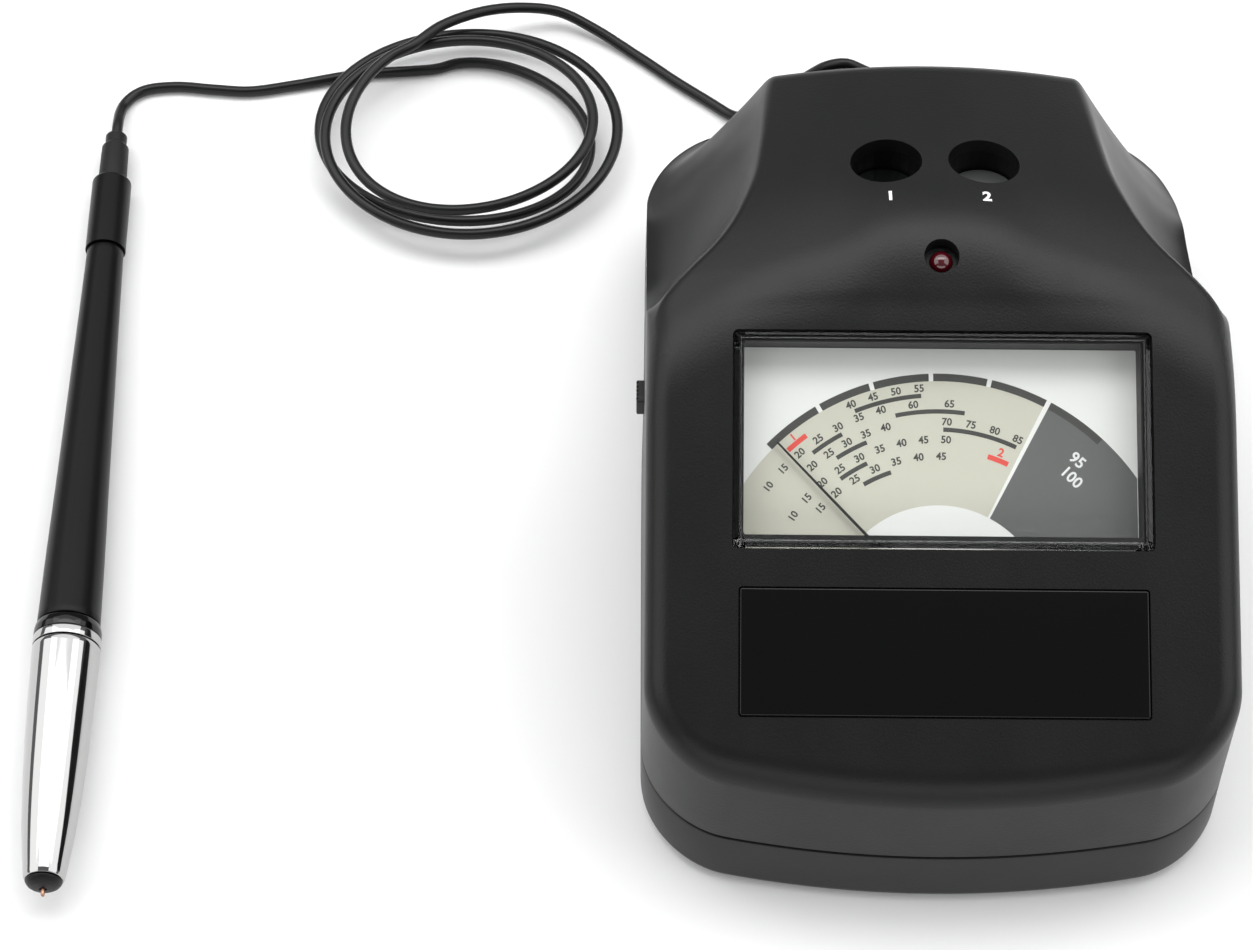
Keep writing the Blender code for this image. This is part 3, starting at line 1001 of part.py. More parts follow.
def coil_points(steps):
    """Return the laid coil's points: drifting ellipses that climb steadily, clockwise."""
    turns = np.linspace(0.0, COIL_TURNS, COIL_TURNS * steps + 1)
    centre_x, centre_y, radius_x, radius_y = (
        curve(tuple((row[0], row[column]) for row in COIL_FORM), turns) for column in range(1, 5))
    angle = math.radians(COIL_START) - 2 * np.pi * turns
    points = np.stack([centre_x + radius_x * np.cos(angle), centre_y + radius_y * np.sin(angle),
                       LEAD_Z + COIL_CLIMB * turns], axis=1)
    first = points[0] - points[1]
    last = points[-1] - points[-2]
    head = points[0] + LEAD_DIAMETER * first / np.linalg.norm(first)
    foot = points[-1] + LEAD_DIAMETER * last / np.linalg.norm(last)
    head[2] = max(head[2], LEAD_Z)
    return np.concatenate([[head], points, [foot]])


def least_gap(points):
    """Return the least air between parts of a tube that are over three diameters apart on it."""
    path = smooth_route(points, 0.5)
    step = np.linalg.norm(path[1] - path[0])
    apart = int(3 * LEAD_DIAMETER / step)
    least = math.inf
    for i in range(len(path) - apart):
        reach = np.linalg.norm(path[i + apart:] - path[i], axis=1)
        least = min(least, float(reach.min()))
    return least - LEAD_DIAMETER


def lead_tube(name, points, resolution, shop):
    """Return a round tube along points, with closed ends."""
    line = bpy.data.curves.new(name, "CURVE")
    line.dimensions = "3D"
    line.bevel_depth = LEAD_RADIUS * MM
    line.bevel_resolution = resolution
    line.use_fill_caps = True
    spline = line.splines.new("POLY")
    spline.points.add(len(points) - 1)
    for point, place in zip(spline.points, points):
        point.co = (*(Vector(place) * MM), 1.0)
    line.materials.append(shop.rubber)
    result = bpy.data.objects.new(name, line)
    bpy.context.collection.objects.link(result)
    result.parent = shop.console
    return result


def build_lead(shop):
    """Make the lead from the probe's boot through its laid coil to the plug at the rear."""
    tilt, turn = math.radians(PROBE_PITCH), math.radians(PROBE_TURN)
    along = np.array([-math.sin(turn) * math.cos(tilt), math.cos(turn) * math.cos(tilt), -math.sin(tilt)])
    point = np.array([PROBE_X, PROBE_Y, NOSE_RADIUS * math.cos(tilt) + RING_REAR * math.sin(tilt)])
    start = point + along * (BOOT_END_REAR + GAP)
    coil = coil_points(COIL_STEPS)
    into = coil[1] - coil[0]
    into /= np.linalg.norm(into)
    out = coil[-1] - coil[-2]
    out /= np.linalg.norm(out)
    spacing = 2.0 * LEAD_DIAMETER
    first = [start + along * LEAD_DIAMETER]
    first += [np.array([x, y, LEAD_Z]) for x, y in ROUTE_TO_COIL]
    first += [coil[0] - into * (GAP + LEAD_DIAMETER)]
    to_coil = np.concatenate([[start], smooth_route(first, spacing), [coil[0] - into * GAP]])
    lead_tube("lead_to_coil", to_coil, 2, shop)
    lead_tube("lead_coil", coil, 1, shop)
    centre = np.array([SOCKET_X, SOCKET_FACE_Y + GAP + PLUG_LENGTH / 2, SOCKET_Z])
    away = np.array(PLUG_BOOT_END) - centre
    reach = np.linalg.norm(away)
    away /= reach
    second = [coil[-1] + out * (GAP + LEAD_DIAMETER)]
    second += [np.array(knot) for knot in ROUTE_TO_CONSOLE]
    second += [np.array(PLUG_BOOT_END) + away * (GAP + LEAD_DIAMETER)]
    ends = coil[-1] + out * GAP, np.array(PLUG_BOOT_END) + away * GAP
    to_console = np.concatenate([[ends[0]], smooth_route(second, spacing), [ends[1]]])
    lead_tube("lead_to_console", to_console, 2, shop)

    face = SOCKET_FACE_Y
    body = lathe([(0.0, face - 13.6), (JACK_RADIUS - 0.6, face - 13.2), (JACK_RADIUS, face - 11.5),
                  (JACK_RADIUS, face + GAP), (PLUG_RADIUS - 0.5, face + GAP), (PLUG_RADIUS, face + GAP + 0.5),
                  (PLUG_RADIUS, face + GAP + PLUG_LENGTH - 1.2),
                  (PLUG_RADIUS - 1.2, face + GAP + PLUG_LENGTH), (0.0, face + GAP + PLUG_LENGTH)], 24)
    plug = solid("lead_plug", turned(body, ALONG_Y), shop.rubber, shop.console,
                 (SOCKET_X, 0.0, SOCKET_Z), smooth=40)
    turns = [math.degrees(angle) for angle in Vector(away).to_track_quat("Z", "Y").to_euler()]
    join(plug, "plug_elbow", rod(2.9, 0.0, PLUG_RADIUS + 1.8, 20), shop.console, tuple(centre), turns)
    boot_front = PLUG_RADIUS + 1.8 + GAP
    boot = lathe([(0.0, boot_front), (2.5, boot_front), (1.7, reach), (0.0, reach)], 20)
    solid("plug_boot", boot, shop.rubber, shop.console, tuple(centre), turns, smooth=40)

    print("least gap of the coil to itself, mm:", round(least_gap(coil), 3))
    runs = (to_coil, coil, to_console)
    length = sum(float(np.linalg.norm(np.diff(path, axis=0), axis=1).sum()) for path in runs)
    print("lead length, mm:", round(length, 1))


def main():
    """Clear the scene and build the tester."""
    for obj in list(bpy.data.objects):
        bpy.data.objects.remove(obj, do_unlink=True)
    shop = Workshop()
    build_housings(shop)
    build_base_pieces(shop)
    build_meter(shop)
    build_hood_pieces(shop)
    build_electronics(shop)
    build_probe(shop)
    build_lead(shop)


if __name__ == "__main__":
    main()
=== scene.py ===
"""Looks of the bench gem tester: a console with an analogue meter, and a pen probe on its lead.

Lengths are in millimetres until a mesh is made. Each sub-assembly is set out in a place of its
own: the console's corner, the panel's plane, the wells' plane and the probe's axis.
"""

import logging
import math
from collections.abc import Sequence
from dataclasses import dataclass, field
from enum import Enum

import bmesh
import bpy
import numpy as np
from mathutils import Matrix, Vector

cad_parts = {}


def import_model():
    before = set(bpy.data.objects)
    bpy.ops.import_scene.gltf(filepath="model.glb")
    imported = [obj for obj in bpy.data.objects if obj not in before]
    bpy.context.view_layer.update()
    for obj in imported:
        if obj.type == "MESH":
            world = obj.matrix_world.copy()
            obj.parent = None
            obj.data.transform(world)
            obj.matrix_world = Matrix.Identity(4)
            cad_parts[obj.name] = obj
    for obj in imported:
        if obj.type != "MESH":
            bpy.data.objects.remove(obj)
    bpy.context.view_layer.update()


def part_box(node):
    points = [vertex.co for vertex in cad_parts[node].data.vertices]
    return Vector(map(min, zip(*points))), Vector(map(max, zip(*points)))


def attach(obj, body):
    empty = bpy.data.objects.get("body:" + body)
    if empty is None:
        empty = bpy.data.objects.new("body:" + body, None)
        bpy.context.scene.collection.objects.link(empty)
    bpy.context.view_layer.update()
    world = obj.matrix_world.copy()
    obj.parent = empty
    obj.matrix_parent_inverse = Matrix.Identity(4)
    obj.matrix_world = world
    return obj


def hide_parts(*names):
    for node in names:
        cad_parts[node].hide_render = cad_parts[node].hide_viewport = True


log = logging.getLogger("tester")
MM = 0.001
SHARP = 35.0
Points = np.ndarray
Faces = list[tuple[int, ...]]
Shape = tuple[Points, Faces]
Triple = tuple[float, float, float]
Pairs = Sequence[tuple[float, float]]


# Node trees

class Shade:
    """A value in a node tree. Arithmetic on it adds Math nodes."""

    def __init__(self, graph: "Graph", socket: bpy.types.NodeSocket) -> None:
        """Keep the tree and the socket that gives the value."""
        self.graph = graph
        self.socket = socket

    def _math(self, operation: str, *values: "Shade | float") -> "Shade":
        """Return the result of one Math node on some values."""
        return self.graph.node("ShaderNodeMath", {"operation": operation}, dict(enumerate(values)))

    def __add__(self, other: "Shade | float") -> "Shade":
        """Return the sum."""
        return self._math("ADD", self, other)

    def __radd__(self, other: float) -> "Shade":
        """Return the sum."""
        return self._math("ADD", other, self)

    def __sub__(self, other: "Shade | float") -> "Shade":
        """Return the difference."""
        return self._math("SUBTRACT", self, other)

    def __rsub__(self, other: float) -> "Shade":
        """Return a number less this value."""
        return self._math("SUBTRACT", other, self)

    def __mul__(self, other: "Shade | float") -> "Shade":
        """Return the product."""
        return self._math("MULTIPLY", self, other)

    def __rmul__(self, other: float) -> "Shade":
        """Return the product."""
        return self._math("MULTIPLY", other, self)


class Graph:
    """A material's node tree round one Principled shader."""

    def __init__(self, name: str) -> None:
        """Make the material with an empty tree, its shader and its output.

        Args:
            name: the material's name.
        """
        self.material = bpy.data.materials.new(name)
        self.material.use_nodes = True
        self.tree = self.material.node_tree
        self.shader = self.tree.nodes["Principled BSDF"]
        self.output = self.tree.nodes["Material Output"]
        self._place: Shade | None = None

    def node(self, kind: str, settings: dict[str, object] | None = None,
             values: dict[int | str, object] | None = None, result: int | str = 0) -> Shade:
        """Add a node.

        Args:
            kind: the node's type.
            settings: what is set on the node itself, before its sockets.
            values: a number, colour, Shade or socket for each named or numbered socket.
            result: the output that is wanted.

        Returns:
            That output.
        """
        made = self.tree.nodes.new(kind)
        for key, value in (settings or {}).items():
            setattr(made, key, value)
        for key, value in (values or {}).items():
            self.feed(made.inputs[key], value)
        return Shade(self, made.outputs[result])

    def feed(self, socket: bpy.types.NodeSocket, value: object) -> None:
        """Link a Shade to a socket, or set a plain value on it.

        Args:
            socket: the input to feed.
            value: a Shade, a number, a colour of three channels, or what else the socket takes.
        """
        if isinstance(value, Shade):
            self.tree.links.new(value.socket, socket)
        elif isinstance(value, tuple) and socket.type == "RGBA" and len(value) == 3:
            socket.default_value = (*value, 1.0)
        else:
            socket.default_value = value

    def set(self, **values: object) -> None:
        """Feed the shader's sockets, with an underscore for each space in a name."""
        for key, value in values.items():
            self.feed(self.shader.inputs[key.replace("_", " ")], value)

    def place(self) -> Shade:
        """Return the Object coordinates."""
        if self._place is None:
            self._place = self.node("ShaderNodeTexCoord", result="Object")
        return self._place

    def noise(self, scale: float, detail: float = 2.0, stretch: Sequence[float] | None = None) -> Shade:
        """Return a noise of about 0 to 1.

        Args:
            scale: waves in a metre.
            detail: octaves.
            stretch: a factor for each axis of the place.

        Returns:
            The noise.
        """
        where = self.place()
        if stretch is not None:
            where = self.node("ShaderNodeMapping", None, {"Vector": where, "Scale": tuple(stretch)})
        return self.node("ShaderNodeTexNoise", None, {"Vector": where, "Scale": scale, "Detail": detail})

    def mix(self, share: Shade | float, first: object, second: object) -> Shade:
        """Return a colour between two colours."""
        return self.node("ShaderNodeMix", {"data_type": "RGBA"}, {0: share, 6: first, 7: second}, result=2)

    def bump(self, height: Shade, depth: float, strength: float = 1.0) -> Shade:
        """Return the normal of a surface raised by a height.

        Args:
            height: the height, from 0 to 1.
            depth: how high 1 stands, in metres.
            strength: share of the effect.

        Returns:
            The normal.
        """
        values = {"Height": height, "Distance": depth, "Strength": strength}
        return self.node("ShaderNodeBump", None, values)


class Grain(Enum):
    """Kinds of fine relief on a surface, with its waves in a metre and its depth in metres."""

    NONE = (0.0, 0.0)
    POLISHED = (900.0, 0.000001)
    SATIN = (4200.0, 0.000012)
    SPARK = (2600.0, 0.00003)
    RUBBER = (3200.0, 0.00002)


@dataclass(frozen=True)
class Finish:
    """A finish of one base colour, with cloudy variation, fine relief and rubbed streaks.

    Its slot is the record's material slot, where that has another name than the finish.
    """

    name: str
    colour: Triple
    roughness: float
    grain: Grain = Grain.SATIN
    metallic: float = 0.0
    coat: float = 0.0
    clouds: float = 0.12
    rough_clouds: float = 0.06
    brushed: Triple | None = None
    ior: float = 1.5
    slot: str = ""

    def material(self) -> bpy.types.Material:
        """Return the finish as a material of its own, made once."""
        name = f"finish_{self.name}"
        found = bpy.data.materials.get(name)
        if found:
            return found
        graph = Graph(name)
        self.paint(graph)
        return graph.material

    def paint(self, graph: Graph) -> None:
        """Build the nodes.

        Base colour = colour * (1 + clouds * (2 noise - 1)), and roughness varies likewise.

        Args:
            graph: the new material's tree.
        """
        cloud = graph.noise(38.0, 3.0)
        low = tuple(channel * (1 - self.clouds) for channel in self.colour)
        high = tuple(min(1.0, channel * (1 + self.clouds)) for channel in self.colour)
        graph.set(Base_Color=graph.mix(cloud, low, high), Metallic=self.metallic, IOR=self.ior,
                  Coat_Weight=self.coat, Coat_Roughness=0.04)
        smear = graph.noise(95.0, 4.0, (1.0, 0.35, 1.0))
        rough = self.roughness + (smear - 0.5) * (2 * self.rough_clouds)
        graph.set(Roughness=rough)
        if self.brushed is not None:
            lines = graph.noise(700.0, 2.0, self.brushed)
            graph.set(Normal=graph.bump(lines, 0.000006))
        elif self.grain is not Grain.NONE:
            waves, depth = self.grain.value
            graph.set(Normal=graph.bump(graph.noise(waves, 2.0), depth))


SHELL_BLACK = Finish("shell_black", (0.0050, 0.0053, 0.0051), 0.38, Grain.SPARK, ior=1.36)
BASE_BLACK = Finish("base_black", (0.0075, 0.0078, 0.0075), 0.38, Grain.SPARK, ior=1.42,
                    slot="shell_black")
GLOSS_BLACK = Finish("gloss_black", (0.0015, 0.0015, 0.0016), 0.10, Grain.POLISHED, rough_clouds=0.03,
                     ior=1.4)
DARK_PLASTIC = Finish("dark_plastic", (0.008, 0.008, 0.008), 0.45, ior=1.4)
SWITCH_BLACK = Finish("switch_black", (0.003, 0.003, 0.003), 0.45, ior=1.4, slot="dark_plastic")
CASE_BLACK = Finish("case_black", (0.002, 0.002, 0.002), 0.5, ior=1.35, slot="dark_plastic")
PROBE_BLACK = Finish("probe_black", (0.0032, 0.0034, 0.0032), 0.32, ior=1.24, slot="shell_black")
CAP_BLACK = Finish("cap_black", (0.004, 0.004, 0.004), 0.45, ior=1.35, slot="dark_plastic")
RUBBER = Finish("rubber_black", (0.0055, 0.0055, 0.0055), 0.5, Grain.RUBBER, ior=1.35)
LEAD_BLACK = Finish("lead_black", (0.0045, 0.0047, 0.0050), 0.34, ior=1.38, slot="rubber_black")
CHROME = Finish("polished_steel", (0.45, 0.45, 0.445), 0.07, Grain.POLISHED, 1.0, clouds=0.02,
                rough_clouds=0.02)
STEEL = Finish("plated_steel", (0.56, 0.56, 0.55), 0.32, metallic=1.0, brushed=(0.1, 1.0, 1.0),
               slot="steel")
SPRING_STEEL = Finish("spring_steel", (0.50, 0.50, 0.50), 0.28, Grain.POLISHED, 1.0)
COPPER = Finish("copper", (0.46, 0.25, 0.17), 0.34, metallic=1.0, clouds=0.2)
WINDING = Finish("winding_copper", (0.62, 0.28, 0.13), 0.35, metallic=1.0, brushed=(1.0, 0.1, 1.0))
BRASS = Finish("brass", (0.72, 0.54, 0.26), 0.28, metallic=1.0, clouds=0.1)
JACKET = Finish("cell_jacket", (0.10, 0.12, 0.16), 0.3, Grain.POLISHED, coat=0.5)
NEEDLE_BLACK = Finish("needle_black", (0.008, 0.008, 0.008), 0.4)
DIAL_BEIGE = Finish("dial_beige", (0.63, 0.615, 0.525), 0.6, Grain.NONE, clouds=0.02, slot="dial_print")
DIAL_DARK = Finish("dial_dark", (0.125, 0.127, 0.125), 0.6, Grain.NONE, clouds=0.03, slot="dial_print")
DIAL_INK = Finish("dial_ink", (0.050, 0.050, 0.046), 0.6, Grain.NONE, slot="dial_print")
DIAL_RED = Finish("dial_red", (0.80, 0.085, 0.065), 0.6, Grain.NONE, clouds=0.05, slot="dial_print")
MARK_WHITE = Finish("mark_white", (0.86, 0.86, 0.86), 0.5, Grain.NONE, clouds=0.02, slot="dial_print")
DIAL_WHITE = Finish("dial_white", (0.90, 0.90, 0.88), 0.6, Grain.NONE, clouds=0.02, slot="dial_print")
DARK_GLASS = Finish("dark_glass", (0.004, 0.005, 0.005), 0.06, Grain.POLISHED, coat=1.0, rough_clouds=0.02)
GREY_METAL = Finish("grey_metal", (0.16, 0.17, 0.165), 0.42, metallic=0.7, brushed=(1.0, 0.1, 1.0),
                    slot="grey_disc")
LAMP_RED = Finish("lamp_red", (0.060, 0.0010, 0.0045), 0.10, Grain.NONE, coat=1.0, rough_clouds=0.02)
BOARD_GREEN = Finish("board_green", (0.02, 0.12, 0.05), 0.35, coat=0.4)
FLOOR_WHITE = Finish("floor_white", (0.93, 0.93, 0.93), 0.8, Grain.NONE, clouds=0.0)


@dataclass(frozen=True)
class ClearFinish(Finish):
    """A clear moulding that bends light, and lets the light that falls through it pass straight."""

    def paint(self, graph: Graph) -> None:
        """Build a transmitting shader, plain transparent to shadow rays and to light that is spread.

        Args:
            graph: the new material's tree.
        """
        graph.set(Base_Color=self.colour, Roughness=self.roughness, IOR=self.ior, Transmission_Weight=1.0)
        shadow = graph.node("ShaderNodeLightPath", result="Is Shadow Ray")
        spread = graph.node("ShaderNodeLightPath", result="Is Diffuse Ray")
        open_way = graph.node("ShaderNodeBsdfTransparent", None, {"Color": (0.97, 0.975, 0.965)})
        both = graph.node("ShaderNodeMixShader", None,
                          {0: shadow + spread, 1: Shade(graph, graph.shader.outputs[0]), 2: open_way})
        graph.feed(graph.output.inputs["Surface"], both)


CLEAR = ClearFinish("clear_plastic", (0.97, 0.985, 0.985), 0.02, ior=1.49)


# Places and meshes

@dataclass(frozen=True)
class Place:
    """A frame that a sub-assembly is set out in: its origin in metres, and its axes as rows."""

    origin: Triple
    x: Triple = (1.0, 0.0, 0.0)
    z: Triple = (0.0, 0.0, 1.0)

    def world(self, points: Points) -> Points:
        """Return points of this place, in millimetres, as points in the row frame, in metres."""
        x, z = np.array(self.x), np.array(self.z)
        axes = np.stack([x, np.cross(z, x), z])
        return np.asarray(points, float) * MM @ axes + np.array(self.origin)

    def shifted(self, x: float, y: float, z: float) -> "Place":
        """Return a place moved by millimetres along its own axes."""
        origin = self.world(np.array([[x, y, z]]))[0]
        return Place(tuple(origin), self.x, self.z)

    def turned(self, degrees: float) -> "Place":
        """Return a place turned about its own Z."""
        x, z = np.array(self.x), np.array(self.z)
        angle = math.radians(degrees)
        return Place(self.origin, tuple(x * math.cos(angle) + np.cross(z, x) * math.sin(angle)), self.z)


CONSOLE = Place((0.054229, -0.074458, 0.0))
PANEL = Place((0.054229, -0.014288, 0.054171), z=(0.0, -0.375416, 0.926857))
WELLS = Place((0.054229, 0.037443, 0.063139), z=(0.0, 0.253758, 0.967268))
PROBE = Place((-0.097871, -0.078358, 0.007287), (0.999851, 0.017278, 0.0),
              (-0.017273, 0.999584, -0.023078))


def grid_faces(rows: int, columns: int, closed: bool = False, start: int = 0) -> np.ndarray:
    """Return the quads of a grid of points.

    Args:
        rows: points down the grid.
        columns: points across it.
        closed: whether the last column joins the first.
        start: number of the first point.

    Returns:
        One row of four point numbers for each quad (i, j), (i, j+1), (i+1, j+1), (i+1, j).
    """
    i, j = np.meshgrid(np.arange(rows - 1), np.arange(columns if closed else columns - 1), indexing="ij")
    following = (j + 1) % columns
    quads = [i * columns + j, i * columns + following, (i + 1) * columns + following, (i + 1) * columns + j]
    return start + np.stack(quads, axis=-1).reshape(-1, 4)


def join_shapes(*shapes: Shape) -> Shape:
    """Return several shapes as one.

    Args:
        shapes: the points and faces of each.

    Returns:
        All the points in a row, with each shape's faces counted on from the one before.
    """
    points, faces, start = [], [], 0
    for shape in shapes:
        points.append(np.asarray(shape[0], float))
        faces += [tuple(int(index) + start for index in face) for face in shape[1]]
        start += len(shape[0])
    return np.concatenate(points), faces


def stack(loops: Sequence[Points]) -> Shape:
    """Return the closed skin over a stack of loops.

    Args:
        loops: loops of equal length, from one end to the other.

    Returns:
        Quads between each loop and the next, with one flat face over each end.
    """
    loops = np.array(loops, float)
    levels, count = loops.shape[:2]
    faces = [tuple(face) for face in grid_faces(levels, count, True)]
    faces.append(tuple(range(count))[::-1])
    faces.append(tuple(range((levels - 1) * count, levels * count)))
    return loops.reshape(-1, 3), faces


def block(x: Sequence[float], y: Sequence[float], z: Sequence[float]) -> Shape:
    """Return a box between pairs of limits."""
    loop = np.array([(x[0], y[0]), (x[1], y[0]), (x[1], y[1]), (x[0], y[1])])
    return stack([np.column_stack([loop, np.full(4, level)]) for level in z])


def round_corner(width: float, height: float, radius: float, steps: int = 10) -> Points:
    """Return a rectangle's outline with round corners, about its middle.

    Args:
        width: size along x.
        height: size along y.
        radius: the corners' radius.
        steps: points on each corner, less one.

    Returns:
        Points (sx (w/2 - r) + r cos a, sy (h/2 - r) + r sin a), a running once round.
    """
    angle = np.radians(90 * (np.repeat(np.arange(4), steps + 1)
                             + np.tile(np.linspace(0, 1, steps + 1), 4)))
    sx = np.repeat([1, -1, -1, 1], steps + 1)
    sy = np.repeat([1, 1, -1, -1], steps + 1)
    return np.column_stack([sx * (width / 2 - radius) + radius * np.cos(angle),
                            sy * (height / 2 - radius) + radius * np.sin(angle)])


def plate(width: float, height: float, radius: float, levels: Pairs) -> Shape:
    """Return a plate with round corners.

    Args:
        width: size along x.
        height: size along y.
        radius: the corners' radius.
        levels: height and inset of each loop, from the bottom up.

    Returns:
        The skin over loops of the outline, each drawn in by its inset.
    """
    loops = []
    for z, inset in levels:
        outline = round_corner(width - 2 * inset, height - 2 * inset, max(radius - inset, 0.05))
        loops.append(np.column_stack([outline, np.full(len(outline), z)]))
    return stack(loops)


def rounded_profile(profile: Pairs, radius: float, steps: int = 4) -> Points:
    """Return a profile of (radius, height) with its corners rounded.

    Args:
        profile: the corners, in order.
        radius: how far from a corner the rounding starts, at most.
        steps: points on each rounding, less one.

    Returns:
        At each corner a quadratic curve: (1-t)^2 a + 2 t (1-t) corner + t^2 b.
    """
    corners = np.array(profile, float)
    result = [corners[:1]]
    share = np.linspace(0, 1, steps + 1)[:, None]
    for before, corner, after in zip(corners[:-2], corners[1:-1], corners[2:]):
        ends = []
        for other in (before, after):
            reach = np.linalg.norm(other - corner)
            ends.append(corner + (other - corner) * min(radius, 0.45 * reach) / max(reach, 1e-9))
        result.append((1 - share)**2 * ends[0] + 2 * share * (1 - share) * corner + share**2 * ends[1])
    result.append(corners[-1:])
    return np.concatenate(result)


def lathe(profile: Points | Pairs, segments: int = 64, closed: bool = True) -> Shape:
    """Return a profile of (radius, height) turned about Z.

    Args:
        profile: the profile, run so that its outside is on the right hand going up.
        segments: steps round the axis.
        closed: whether the last point of the profile joins the first.

    Returns:
        Points (r cos a, r sin a, z); a point on the axis becomes a pole.
    """
    profile = np.array(profile, float)
    angle = np.linspace(0, 2 * np.pi, segments, endpoint=False)
    radius, height = profile[:, :1], profile[:, 1:]
    points = np.stack([radius * np.cos(angle), radius * np.sin(angle), height + 0 * angle], axis=-1)
    faces = [tuple(face) for face in grid_faces(len(profile), segments, True)]
    if closed:
        last = (len(profile) - 1) * segments
        ring = np.arange(segments)
        follow = (ring + 1) % segments
        faces += [tuple(face) for face in np.stack([last + ring, last + follow, follow, ring], axis=1)]
    return points.reshape(-1, 3), faces


def rod(radius: float, low: float, high: float, segments: int = 48) -> Shape:
    """Return a cylinder along Z."""
    return lathe([(0.0, low), (radius, low), (radius, high), (0.0, high)], segments)


def moved(shape: Shape, place: Sequence[float]) -> Shape:
    """Return a shape moved by a vector."""
    return np.asarray(shape[0], float) + np.array(place, float), shape[1]


def turned(shape: Shape, rows: Sequence[Sequence[float]]) -> Shape:
    """Return a shape turned by a 3 by 3 matrix given as rows."""
    return np.asarray(shape[0], float) @ np.array(rows, float).T, shape[1]


ALONG_X = ((0.0, 0.0, 1.0), (0.0, 1.0, 0.0), (-1.0, 0.0, 0.0))
ALONG_Y = ((1.0, 0.0, 0.0), (0.0, 0.0, 1.0), (0.0, -1.0, 0.0))


def mesh_of(name: str, shape: Shape, place: Place, angle: float | None = SHARP) -> bpy.types.Mesh:
    """Return a mesh of a shape, with its doubles merged and its faces pointing out.

    Args:
        name: the mesh's name.
        shape: points in millimetres and faces.
        place: the frame that the points are in.
        angle: edges sharper than this many degrees stay sharp, or None for a flat look.

    Returns:
        The mesh, in metres in the row frame.
    """
    mesh = bpy.data.meshes.new(name)
    mesh.from_pydata(place.world(shape[0]).tolist(), [], [tuple(map(int, face)) for face in shape[1]])
    work = bmesh.new()
    work.from_mesh(mesh)
    bmesh.ops.remove_doubles(work, verts=work.verts, dist=1e-7)
    bmesh.ops.dissolve_degenerate(work, edges=work.edges, dist=1e-8)
    bmesh.ops.recalc_face_normals(work, faces=work.faces)
    work.to_mesh(mesh)
    work.free()
    if angle is not None:
        mesh.shade_smooth()
        mesh.set_sharp_from_angle(angle=math.radians(angle))
    return mesh


def piece(name: str, shape: Shape, place: Place, finish: Finish, body: str = "console",
          nodes: Sequence[str] = (), angle: float = SHARP) -> bpy.types.Object:
    """Make a piece of the tester from a shape.

    Args:
        name: the piece's name.
        shape: points in millimetres and faces.
        place: the frame that the points are in.
        finish: its finish.
        body: the moving body that it rides on.
        nodes: the solids that it stands for.
        angle: edges sharper than this many degrees stay sharp.

    Returns:
        The object.
    """
    obj = linked(name, mesh_of(name, shape, place, angle))
    obj.data.materials.append(finish.material())
    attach(obj, body)
    if nodes:
        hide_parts(*nodes)
    log.info("%s: %d faces", obj.name, len(obj.data.polygons))
    return obj


def linked(name: str, data: bpy.types.ID) -> bpy.types.Object:
    """Return a new object of some data, put into the scene."""
    obj = bpy.data.objects.new(name, data)
    bpy.context.scene.collection.objects.link(obj)
    return obj


def carve(obj: bpy.types.Object, shape: Shape, place: Place, operation: str = "DIFFERENCE") -> None:
    """Cut a shape out of a piece, or join it on, and keep the result as the piece's mesh.

    Args:
        obj: the piece.
        shape: the other shape, in millimetres.
        place: the frame that the other shape is in.
        operation: DIFFERENCE, UNION or INTERSECT.
    """
    tool = linked("tool", mesh_of("tool", shape, place, None))
    step = obj.modifiers.new("cut", "BOOLEAN")
    step.solver = "EXACT"
    step.operation = operation
    step.object = tool
    graph = bpy.context.evaluated_depsgraph_get()
    mesh = bpy.data.meshes.new_from_object(obj.evaluated_get(graph))
    obj.modifiers.clear()
    work = bmesh.new()
    work.from_mesh(mesh)
    bmesh.ops.holes_fill(work, edges=work.edges, sides=3)
    work.to_mesh(mesh)
    work.free()
    old = obj.data
    obj.data = mesh
    bpy.data.meshes.remove(old)
    bpy.data.objects.remove(tool)
    mesh.shade_smooth()
    mesh.set_sharp_from_angle(angle=math.radians(SHARP))


# The console's form

CREASE_X = ((0, 45.9), (60, 45.9), (74, 46.6), (79, 48.3), (82, 48.4), (85, 47.2), (88, 45.1),
            (91, 42.6), (95, 39.0), (99.3, 36.1), (105.6, 33.4), (112.6, 31.4), (121, 30.2),
            (129, 29.4), (136, 28.6), (140, 27.9), (146, 27.2), (152, 26.4))
SHOULDER_Z = ((79, 57.3), (82, 55.6), (86, 51.5), (91, 44.8), (97, 37.4), (104, 31.8), (113, 28.1),
              (120, 25.8), (126.6, 24.0), (132, 21.0), (137, 19.0), (142, 18.4), (152, 18.2))


def curve(knots: Pairs, at: Points | float) -> Points:
    """Return a smooth curve's value.

    Args:
        knots: the places and values that the curve passes, in order.
        at: the places that are wanted.

    Returns:
        Between two knots the cubic that has their values, and tangents from the knots beside them.
    """
    place, value = np.array(knots, float).T
    tangent = np.gradient(value, place)
    at = np.clip(at, place[0], place[-1])
    i = np.clip(np.searchsorted(place, at) - 1, 0, len(place) - 2)
    step = place[i + 1] - place[i]
    t = (at - place[i]) / step
    low = (2 * t**3 - 3 * t**2 + 1) * value[i] + (t**3 - 2 * t**2 + t) * step * tangent[i]
    return low + (3 * t**2 - 2 * t**3) * value[i + 1] + (t**3 - t**2) * step * tangent[i + 1]


def ease(t: Points | float) -> Points:
    """Return 3 t squared - 2 t cubed, with t kept from 0 to 1."""
    t = np.clip(t, 0.0, 1.0)
    return t * t * (3 - 2 * t)


def lower_of(a: Points, b: Points, radius: float) -> Points:
    """Return the lower of two heights, less radius s (1 - s) where they cross at share s."""
    share = np.clip(0.5 + 0.5 * (b - a) / radius, 0.0, 1.0)
    return b * (1 - share) + a * share - radius * share * (1 - share)


